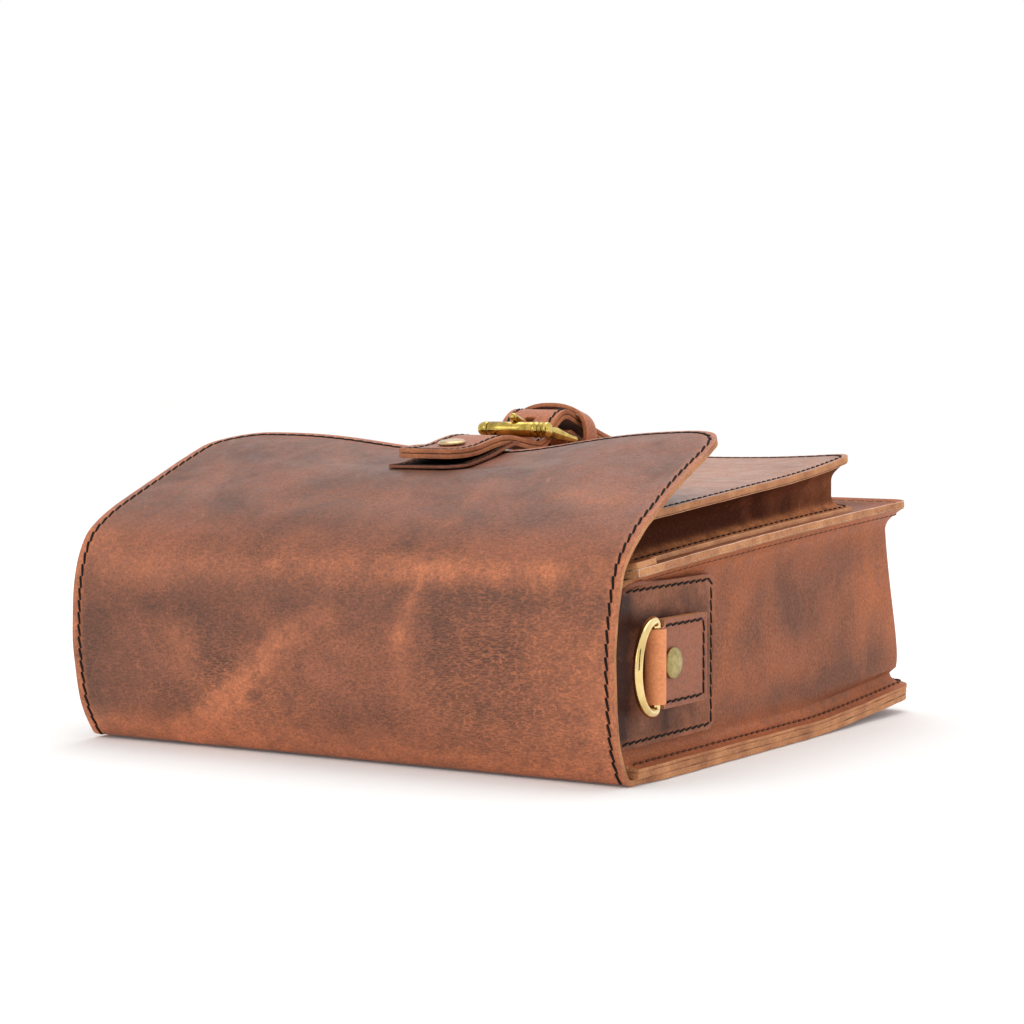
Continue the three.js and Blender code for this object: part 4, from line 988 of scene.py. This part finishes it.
def side_patch(side, mirror):
    stops = np.r_[PATCH_START, PATCH_START + 1,
                  np.linspace(PATCH_START + 3, PATCH_END - EDGE_STEPS[-1], 18)[:-1],
                  [PATCH_END - d for d in reversed(EDGE_STEPS)]]
    rows = []
    for y in stops:
        w = spread(half_at(y, PATCH_HALF, PATCH_END + OPEN, PATCH_CORNER), PATCH_COLUMNS)
        edge = edge_distance(w, y, PATCH_HALF, PATCH_END, PATCH_CORNER)
        # The clouded value is painted shade, darkest at the mouth end where the flap overhangs the patch
        rows.append((patch_points(mirror, y, w, groove(edge, PATCH_INSET)),
                     0.35 * edge_pull(edge, PATCH_INSET), 1.3 * np.exp(-((y + 4) / 14) ** 2), 0.1))
    piece = leather_sheet(f"side_patch_{side}", rows, (mirror, 0, 0), THIN + 0.2,
                          [PATCH_LEATHER, DARK_EDGE, FLESH])
    keep(piece, "patch_leather", f"side_patch_{side}")
    across, y = seam_line(PATCH_HALF, PATCH_START + 2, PATCH_END, PATCH_CORNER, PATCH_INSET).T
    line = patch_points(mirror, y, across, THREAD_SINK)
    sew(f"patch_sewing_{side}", "patch_leather", (line, same_way(line, (mirror, 0, 0))),
        pitch=4.77, width=0.98, slant=11 * mirror, share=0.98)


def arc(centre, radius, start, end, steps):
    turn = np.radians(np.linspace(start, end, steps + 1))
    return np.stack([centre[0] + radius * np.cos(turn), centre[1] + radius * np.sin(turn)], -1)


def spline(stops, count):
    """Smooth line through places, evenly spread."""
    return through(np.asarray(stops, float), np.linspace(0, 1, count))


def even(line, step):
    """The same line with its points about a step apart."""
    way = ways(line)
    return sample(np.linspace(0, way[-1], max(3, int(way[-1] / step))), way, line)


def line_normals(line):
    along = np.gradient(line, axis=0)
    along /= np.maximum(np.linalg.norm(along, axis=1, keepdims=True), 1e-9)
    return np.stack([-along[:, 1], along[:, 0]], -1)


def ring_tab(side, mirror):
    low, high = tab_face + TAB_LEATHER / 2, tab_top - TAB_LEATHER / 2
    roll = RING_WIRE + GAP + TAB_LEATHER / 2
    line = even(np.vstack([
        [(TAB_END, low), (TAB_SHOULDER, low)], arc((RING_Y, ring_x), roll, 270, 25, 30),
        spline([(RING_Y + 3.5, ring_x + 0.4), (RING_Y + 4.4, high + 0.35), (RING_Y + 6, high)], 10),
        [(TAB_END, high)]]), 0.7)
    rows = []
    for k, ((y, x), (n_y, n_x)) in enumerate(zip(line, line_normals(line))):
        half = TAB_NARROW + (TAB_WIDE - TAB_NARROW) * smooth((y - TAB_SHOULDER - 0.8) / 0.9)
        w = strip_across(half, 16)
        edge = np.minimum(half - np.abs(w), np.maximum(TAB_END - y, 0))
        flat = 1.0 if y > TAB_SHOULDER + 3 and k > len(line) / 2 else 0.0
        out = TAB_LEATHER / 2 - groove(edge, TAB_INSET) * flat
        loop = 1 - smooth((y - TAB_SHOULDER) / 2)
        rows.append((points(mirror * (x + n_x * out), y + n_y * TAB_LEATHER / 2, RING_Z + w),
                     0.9 * loop + 0.2, flat * (0.8 * np.exp(-(edge / 9) ** 2) + 0.35), 0.1))
    piece = leather_sheet(f"ring_tab_{side}", rows, (0, -1, 0), TAB_LEATHER, [TAB_LEATHER_TAN, EDGE, FLESH])
    # Past the loop the tab's grain side is as brown as the strap
    piece.data.materials.append(STRAP_LEATHER)
    start = (TAB_SHOULDER + 1.2 - MOUTH_SHIFT) * MM
    for face in piece.data.polygons:
        if face.material_index == 0 and face.center.y > start:
            face.material_index = 3
    keep(piece, "tab_leather", f"ring_tab_{side}")
    across, y = seam_line(TAB_WIDE, TAB_SHOULDER + 2.6, TAB_END, TAB_CORNER, TAB_INSET).T
    line = points(mirror * (tab_top - TAB_SINK), y, RING_Z + across)
    sew(f"tab_sewing_{side}", "tab_leather", (line, same_way(line, (mirror, 0, 0))),
        pitch=4.8, width=0.95, slant=9 * mirror, share=0.98)


# Hardware, bent and turned from round sections
def start_section(name, radius, sides, start, along, fill):
    """A circle square to a direction, selected for editing."""
    deselect()
    turn = Vector((0, 0, 1)).rotation_difference(Vector(along)).to_euler()
    bpy.ops.mesh.primitive_circle_add(vertices=sides, radius=radius * MM, fill_type=fill,
                                      location=Vector(start) * MM, rotation=turn)
    piece = bpy.context.object
    piece.name = piece.data.name = f"{name}_brass"
    bpy.ops.object.transform_apply(location=True, rotation=True, scale=True)
    bpy.ops.object.mode_set(mode="EDIT")
    bpy.ops.mesh.select_all(action="SELECT")
    return piece


def draw(way):
    bpy.ops.mesh.extrude_region_move(TRANSFORM_OT_translate={"value": way * MM})


def weld(piece, distance, material):
    """Closes a drawn section and turns its faces outwards."""
    bpy.ops.mesh.select_all(action="SELECT")
    bpy.ops.mesh.remove_doubles(threshold=distance)
    bpy.ops.mesh.normals_make_consistent(inside=False)
    bpy.ops.object.mode_set(mode="OBJECT")
    piece.data.materials.append(material)


def wire(name, radius, sides, start, along, moves, material):
    """A closed wire: a round section that is drawn out straight, step by step with the growth of its
    height, and spun round each bend."""
    piece = start_section(name, radius, sides, start, along, "NOTHING")
    for kind, value, *bend in moves:
        if kind == "draw":
            for growth in bend[0]:
                draw(Vector(value) / len(bend[0]))
                if growth != 1:
                    bpy.ops.transform.resize(value=(1, 1, growth))
        else:
            axis, angle, steps = bend
            bpy.ops.mesh.spin(steps=steps, angle=math.radians(angle), center=Vector(value) * MM,
                              axis=-Vector(axis))
    weld(piece, WIRE_WELD, material)
    bpy.ops.object.shade_smooth()
    return piece


def turned(name, rows, sides, start, along, material, capped=True):
    """A turned piece: a round section drawn out along its axis and scaled to each (way, radius)."""
    start, along = Vector(start), Vector(along).normalized()
    way, radius = rows[0]
    piece = start_section(name, radius, sides, start + along * way, along, "NGON" if capped else "NOTHING")
    for next_way, next_radius in rows[1:]:
        draw(along * (next_way - way))
        ratio = next_radius / radius
        bpy.ops.transform.resize(value=(ratio, ratio, ratio), center_override=(start + along * next_way) * MM)
        way, radius = next_way, next_radius
    weld(piece, TURNED_WELD, material)
    bpy.ops.object.shade_smooth_by_angle(angle=math.radians(TURNED_SMOOTH))
    return piece


def dome(radius, height):
    """Half profile of a pressed cap: small rolled rim, then a low dome."""
    rim = [(0, radius * 0.95), (0.1 * height, radius * 0.99), (0.3 * height, radius),
           (0.46 * height, radius * 0.98)]
    crown = [(0.5 * height + 0.5 * height * math.sin(a), radius * 0.93 * math.cos(a))
             for a in np.radians([8, 20, 32, 44, 56, 68, 80, 89])]
    return rim + crown


def place(point):
    """From the bag's places to the frame's, still in millimetres."""
    return Vector(point) - Vector((0, MOUTH_SHIFT, 0))


def d_ring(side, mirror):
    tilt = math.radians(RING_TILT)
    out, up = Vector((mirror * math.sin(tilt), -math.cos(tilt), 0)), Vector((0, 0, 1))
    pivot = place((mirror * ring_x, RING_Y, RING_Z))
    turn = up.cross(out)
    rise = RING_BOW - RING_CORNER
    middle = pivot + out * RING_CORNER
    moves = [("draw", up * rise, [1] * 6), ("spin", middle + up * rise, turn, 90, 8),
             ("spin", middle, turn, 180, 44), ("spin", middle - up * rise, turn, 90, 8),
             ("draw", up * rise, [1] * 6)]
    piece = wire(f"d_ring_{side}", RING_WIRE, 24, pivot, up, moves, RING_BRASS)
    keep(piece, "ring_brass", f"d_ring_{side}", body=f"ring_{side}")


for side, mirror in (("right", 1), ("left", -1)):
    side_patch(side, mirror)
    ring_tab(side, mirror)
    d_ring(side, mirror)
    rivet = turned(f"tab_rivet_{side}", dome(RIVET_RADIUS, RIVET_HEIGHT), 40,
                   place((mirror * (tab_top + GAP), RIVET_Y, RING_Z)), (mirror, 0, 0), CAP_BRASS)
    keep(rivet, "aged_brass", f"tab_rivet_{side}")


# Closure
def flap_patch():
    """Patch on the flap, which lifts towards the flap's front edge and reaches past it."""
    start, end = FLAP_PATCH_START, FLAP_SECTIONS[-1, 2] + FLAP_PATCH_PAST
    t_all = np.linspace(0.5, 1, 2001)
    y_all = flap_point(t_all, 0)[:, 1]
    past = flap_point(1, 0) - flap_point(0.995, 0)
    past /= past[1]

    def lift(y):
        return GAP + FLAP_PATCH_THICK + FLAP_PATCH_CURL * smooth((y - 70) / 14)

    rows = []
    for y in np.r_[[start + d for d in EDGE_STEPS],
                   np.linspace(start + EDGE_STEPS[-1], end - 3, 16)[1:], end - 1, end]:
        t = float(np.interp(y, y_all, t_all))
        w = strip_across(half_at(y, FLAP_PATCH_HALF, start - OPEN, FLAP_PATCH_CORNER), 12)
        edge = edge_distance(w, y, FLAP_PATCH_HALF, start, FLAP_PATCH_CORNER)
        rise = lift(y) - groove(edge, STRAP_INSET)
        point = flap_point(t, w) + flap_normal(t, w) * rise[:, None] + past * max(0, y - y_all[-1])
        point[:, 0] = w
        # Away from its edges the patch is clouded into painted shade, where the strap lies over it
        rows.append((point, 0.3 * edge_pull(edge, STRAP_INSET), smooth((edge - 3) / 3), 0.1))
    piece = leather_sheet("flap_patch", rows, (0, 0, 1), FLAP_PATCH_THICK,
                          [SHADED_FLAP_PATCH_LEATHER, DARK_EDGE, FLESH])
    keep(piece, "strap_leather", "flap_patch")
    x, y = seam_line(FLAP_PATCH_HALF, end - 6, start, FLAP_PATCH_CORNER, STRAP_INSET).T
    t = np.interp(y, y_all, t_all)
    up = flap_normal(t, x)
    line = flap_point(t, x) + up * (lift(y) - THREAD_SINK)[:, None]
    sew("flap_patch_sewing", "strap_leather", (line, up), pitch=4.6)


strap_middle = even(spline(STRAP_LINE, 400), 1.0)
strap_normals = line_normals(strap_middle)
STRAP_START = STRAP_LINE[0][0]


def strap_layer(name, low, high):
    """One of the strap's two layers, between two distances from its middle line."""
    rows = []
    for (y, z), (n_y, n_z) in zip(strap_middle, strap_normals):
        half = float(half_at(y, STRAP_HALF, STRAP_START - OPEN, STRAP_CORNER))
        w = strip_across(half, 10)
        edge = np.minimum(half - np.abs(w), y - STRAP_START)
        rise = high - groove(edge, STRAP_INSET) * (high > 0)
        bend = sum(strength * np.exp(-((y - at) / wide) ** 2) for at, wide, strength in STRAP_BENDS)
        rows.append((points(w, y + n_y * rise, z + n_z * rise),
                     0.5 * bend + 0.4 * edge_pull(edge, STRAP_INSET), 0.15, 0.12 + 0.4 * bend))

    def slot(spot):
        return abs(spot[0]) < STRAP_SLOT and STRAP_SLOT_START < spot[1] < STRAP_SLOT_ENDS[high < 0]

    return leather_sheet(name, rows, (0, 0, 1), high - low, STRAP_LAYERS, gap=slot)


def closure_strap():
    upper = strap_layer("closure_strap", STRAP_SLIT, STRAP_THICK / 2)
    join(upper, strap_layer("strap_lining_layer", -STRAP_THICK / 2, -STRAP_SLIT))
    keep(upper, "strap_leather", "closure_strap")
    x, y = seam_line(STRAP_HALF, STRAP_SEWN, STRAP_START, STRAP_CORNER, STRAP_INSET).T
    z = np.interp(y, strap_middle[:, 0], strap_middle[:, 1])
    n_y, n_z = (np.interp(y, strap_middle[:, 0], column) for column in strap_normals.T)
    rise = STRAP_THICK / 2 - THREAD_SINK
    sew("strap_sewing", "strap_leather", (points(x, y + n_y * rise, z + n_z * rise), points(0, n_y, n_z)),
        pitch=4.4)


def buckle_chape():
    """Strap from the pocket, round the buckle's hinge bar and back to the pocket."""
    roll = BUCKLE_WIRE + GAP + CHAPE_LEATHER / 2
    lower = [(y, pocket_top(y) + GAP + CHAPE_LEATHER / 2) for y in (195.4, 189, 182)]
    upper = [(y, pocket_top(y) + 2 * GAP + 1.5 * CHAPE_LEATHER) for y in (182, 189, 196.4)]
    under = spline(lower + [(170, 113.6), (160, 115.7), (150, 118.2)], 60)
    over = spline([(150, 122.9), (160, 118.9), (170, 116.3)] + upper, 60)
    line = even(np.vstack([under, arc((HINGE_Y, HINGE_Z), roll, 280, 66, 20), over]), 1.0)
    outer = line + line_normals(line) * (CHAPE_LEATHER / 2)
    across = strip_across(CHAPE_HALF, 8)
    rows = [(points(across, *spot), 0.7 * np.exp(-((y - 139) / 6) ** 2) + 0.2, 0.15, 0.15)
            for (y, _), spot in zip(line, outer)]

    def slot(spot):
        return abs(spot[0]) < CHAPE_SLOT and spot[1] < CHAPE_SLOT_END

    piece = leather_sheet("buckle_chape", rows, (0, -1, 0), CHAPE_LEATHER, STRAP_LAYERS, gap=slot)
    keep(piece, "strap_leather", "buckle_chape")


def strap_keeper():
    """Band round the strap: a closed line of nine places between each two of its stops."""
    right = np.array(KEEPER_LINE, float)
    ring = np.vstack([right, (right[1:-1] * [-1, 1])[::-1]])
    count = len(ring)
    dense = through(np.vstack([ring[-1:], ring, ring[:2]]), (1 + np.arange(9 * count) / 9) / (count + 2))
    along = np.roll(dense, -1, 0) - np.roll(dense, 1, 0)
    along /= np.linalg.norm(along, axis=1, keepdims=True)
    outer = dense + np.stack([along[:, 1], -along[:, 0]], -1) * LEATHER / 2
    stops = KEEPER_START + np.array([0, 0.8, 2, 3.5, 5, 6.5, 7.6, 8.4, KEEPER_END - KEEPER_START])
    edge = np.minimum(stops - KEEPER_START, KEEPER_END - stops)
    pulled = 0.45 + 0.5 * np.exp(-(edge / 2) ** 2)
    rows = [(points(x, stops, z + KEEPER_SLOPE * (stops - KEEPER_START)), pulled, 0, 0.1) for x, z in outer]
    side_x, side_z = outer[len(outer) // 2]
    piece = leather_sheet("strap_keeper", rows, (side_x, 0, side_z - KEEPER_MIDDLE), KEEPER_LEATHER,
                          STRAP_LAYERS, closed=True)
    keep(piece, "strap_leather", "strap_keeper")


# How the buckle's arms grow tall beside the roller and taper towards the hinge bar
ARM_TAPER = [1.35, 1.1, 0.95, 0.92, 0.9, 0.9, 0.9, 0.95]
# Turned profiles (way, radius): knuckles on the bar's ends where the arms meet it, roller, prong and eye
BEAD_KNUCKLE = [
    (12.9, 2.2), (12.9, 2.9), (13.3, 3.3), (14, 3.45), (14.7, 3.3), (15.1, 2.85), (15.5, 2.9), (16, 3.3),
    (16.8, 3.5), (17.5, 3.2), (18, 2.4), (18.15, 1.2), (18.2, 0.3),
]
PLAIN_KNUCKLE = [
    (12.9, 2.2), (12.9, 3.1), (13.4, 3.3), (15, 3.25), (16.4, 2.95), (17.4, 2.4), (18, 1.6), (18.3, 0.4),
]
BUCKLE_BORE = BUCKLE_WIRE + GAP
ROLLER = [
    (-ROLLER_HALF, BUCKLE_BORE), (-ROLLER_HALF, 2.9), (0.3 - ROLLER_HALF, 3.2),
    (0.8 - ROLLER_HALF, ROLLER_RADIUS), (ROLLER_HALF - 3.2, ROLLER_RADIUS), (ROLLER_HALF - 2.8, 3),
    (ROLLER_HALF - 2.5, 3.05), (ROLLER_HALF - 2.1, 3.45), (ROLLER_HALF - 1.5, 3.6), (ROLLER_HALF - 0.9, 3.45),
    (ROLLER_HALF - 0.4, 3.05), (ROLLER_HALF, 2.9), (ROLLER_HALF, BUCKLE_BORE), (-ROLLER_HALF, BUCKLE_BORE),
]
PRONG = [(3.0, 1.9), (5, 2.08), (10, 2.02), (18, 1.9), (26, 1.7)]
PRONG_END = [(-2.4, 1.62), (-1.6, 1.75), (-0.8, 1.6), (-0.25, 1.1), (0, 0.3)]
PRONG_EYE = [(-2, BUCKLE_BORE), (-2, 3.5), (-1.6, 3.85), (1.6, 3.85), (2, 3.5), (2, BUCKLE_BORE),
             (-2, BUCKLE_BORE)]


def buckle():
    front, hinge = place((0, BUCKLE_Y, BUCKLE_Z)), place((0, HINGE_Y, HINGE_Z))
    along, across = (hinge - front).normalized(), Vector((1, 0, 0))
    axis = across.cross(along)
    wide, long = BUCKLE_HALF - BUCKLE_CORNER, (hinge - front).length - 2 * BUCKLE_CORNER

    def corner(x, y):
        return "spin", front + across * x * wide + along * (BUCKLE_CORNER + y * long), axis, 90, 8

    moves = [
        ("draw", across * wide, [1] * 4), corner(1, 0), ("draw", along * long, ARM_TAPER), corner(1, 1),
        ("draw", -across * 2 * wide, [1] * 8), corner(-1, 1),
        ("draw", -along * long, [1 / s for s in ARM_TAPER[::-1]]), corner(-1, 0),
        ("draw", across * wide, [1] * 4),
    ]
    bar = wire("buckle_frame", BUCKLE_WIRE, 20, front, across, moves, BUCKLE_BRASS)
    join(bar, *[turned(f"buckle_knuckle_{side}", rows, 28, front, (way, 0, 0), BUCKLE_BRASS)
                for side, rows, way in (("right", BEAD_KNUCKLE, 1), ("left", PLAIN_KNUCKLE, -1))])
    keep(bar, "buckle_brass", "buckle_frame")
    roller = turned("buckle_roller", ROLLER, 36, front, across, BUCKLE_BRASS, capped=False)
    keep(roller, "buckle_brass", "buckle_roller")
    way = place(PRONG_TIP) - hinge
    rows = PRONG + [(way.length + back, radius) for back, radius in PRONG_END]
    pin = turned("buckle_prong", rows, 20, hinge, way, BUCKLE_BRASS)
    join(pin, turned("prong_eye", PRONG_EYE, 28, hinge, across, BUCKLE_BRASS, capped=False))
    keep(pin, "buckle_brass", "buckle_prong")


def snap():
    (y0, z0), (_, z), (y1, z1) = STRAP_LINE[1:4]
    slope = math.atan2(z1 - z0, y1 - y0)
    up = Vector((0, -math.sin(slope), math.cos(slope)))
    seat = place((0, SNAP_Y, z)) + up * (STRAP_THICK / 2 + GAP + SNAP_SEAT)
    keep(turned("snap", dome(SNAP_RADIUS, SNAP_HEIGHT), 40, seat, up, SNAP_BRASS), "aged_brass", "snap")


flap_patch()
closure_strap()
buckle_chape()
strap_keeper()
buckle()
snap()


# Studio: pale floor, white surround, soft lights and a dark card; in metres
FLOOR_SIZE, FLOOR_LEVEL = 12, -0.0004
FLAG_PLACE, FLAG_AIM, FLAG_SCALE = (1.05, -0.62, 0.35), (1.05, -0.62, 0.1), (0.45, 1, 1)
SOFTBOXES = [
    ("top_softbox", (-0.1, 0.45, 1.4), (0, 0, 0.05), 1.1, 6),
    ("front_softbox", (-0.7, -1.5, 0.9), (0, -0.1, 0.05), 0.8, 3),
]


def stage_plane(name, size, spot, material):
    deselect()
    bpy.ops.mesh.primitive_plane_add(size=size, location=spot)
    plane = bpy.context.object
    plane.name = name
    plane.data.materials.append(material)
    return plane


def studio():
    paper = stage_paint("white_paper_floor", "#f9f9f8", {
        "Roughness": 0.9, "Specular IOR Level": 0.1, "Emission Color": linear("#ffffff"),
        "Emission Strength": 0.06})
    floor = stage_plane("floor", FLOOR_SIZE, (0, 0, FLOOR_LEVEL), paper)
    world = bpy.data.worlds.new("white_surround")
    world.use_nodes = True
    background = world.node_tree.nodes["Background"]
    background.inputs["Color"].default_value = linear("#ffffff")
    background.inputs["Strength"].default_value = 1.0
    bpy.context.scene.world = world
    for name, spot, aim, size, power in SOFTBOXES:
        light = bpy.data.lights.new(name, "AREA")
        light.size = size
        light.energy = power
        lamp = bpy.data.objects.new(name, light)
        lamp.location = spot
        lamp.rotation_euler = (Vector(aim) - Vector(spot)).to_track_quat("-Z", "Y").to_euler()
        bpy.context.scene.collection.objects.link(lamp)


def flag():
    """A dark card right of the camera that shows in the brass's reflections and nowhere else."""
    felt = stage_paint("black_felt_flag", "#0c0b0a", {"Roughness": 1.0})
    card = stage_plane("dark_flag", 1, FLAG_PLACE, felt)
    card.scale = FLAG_SCALE
    card.rotation_euler = Vector(FLAG_AIM).to_track_quat("Z", "Y").to_euler()
    card.visible_camera = card.visible_diffuse = card.visible_shadow = False


def camera():
    azimuth, pitch = math.radians(CAMERA_AZIMUTH), math.radians(CAMERA_PITCH)
    ahead = Vector((-math.sin(azimuth) * math.cos(pitch), math.cos(azimuth) * math.cos(pitch),
                    -math.sin(pitch)))
    lens = bpy.data.cameras.new("camera")
    lens.sensor_width = SENSOR
    lens.lens = SENSOR * CAMERA_FOCUS / PICTURE_WIDTH
    eye = bpy.data.objects.new("camera", lens)
    eye.location = place(CAMERA_PLACE) * MM
    eye.rotation_euler = ahead.to_track_quat("-Z", "Y").to_euler()
    bpy.context.scene.collection.objects.link(eye)
    bpy.context.scene.camera = eye
    bpy.context.scene.view_settings.view_transform = "Standard"


studio()
flag()
camera()
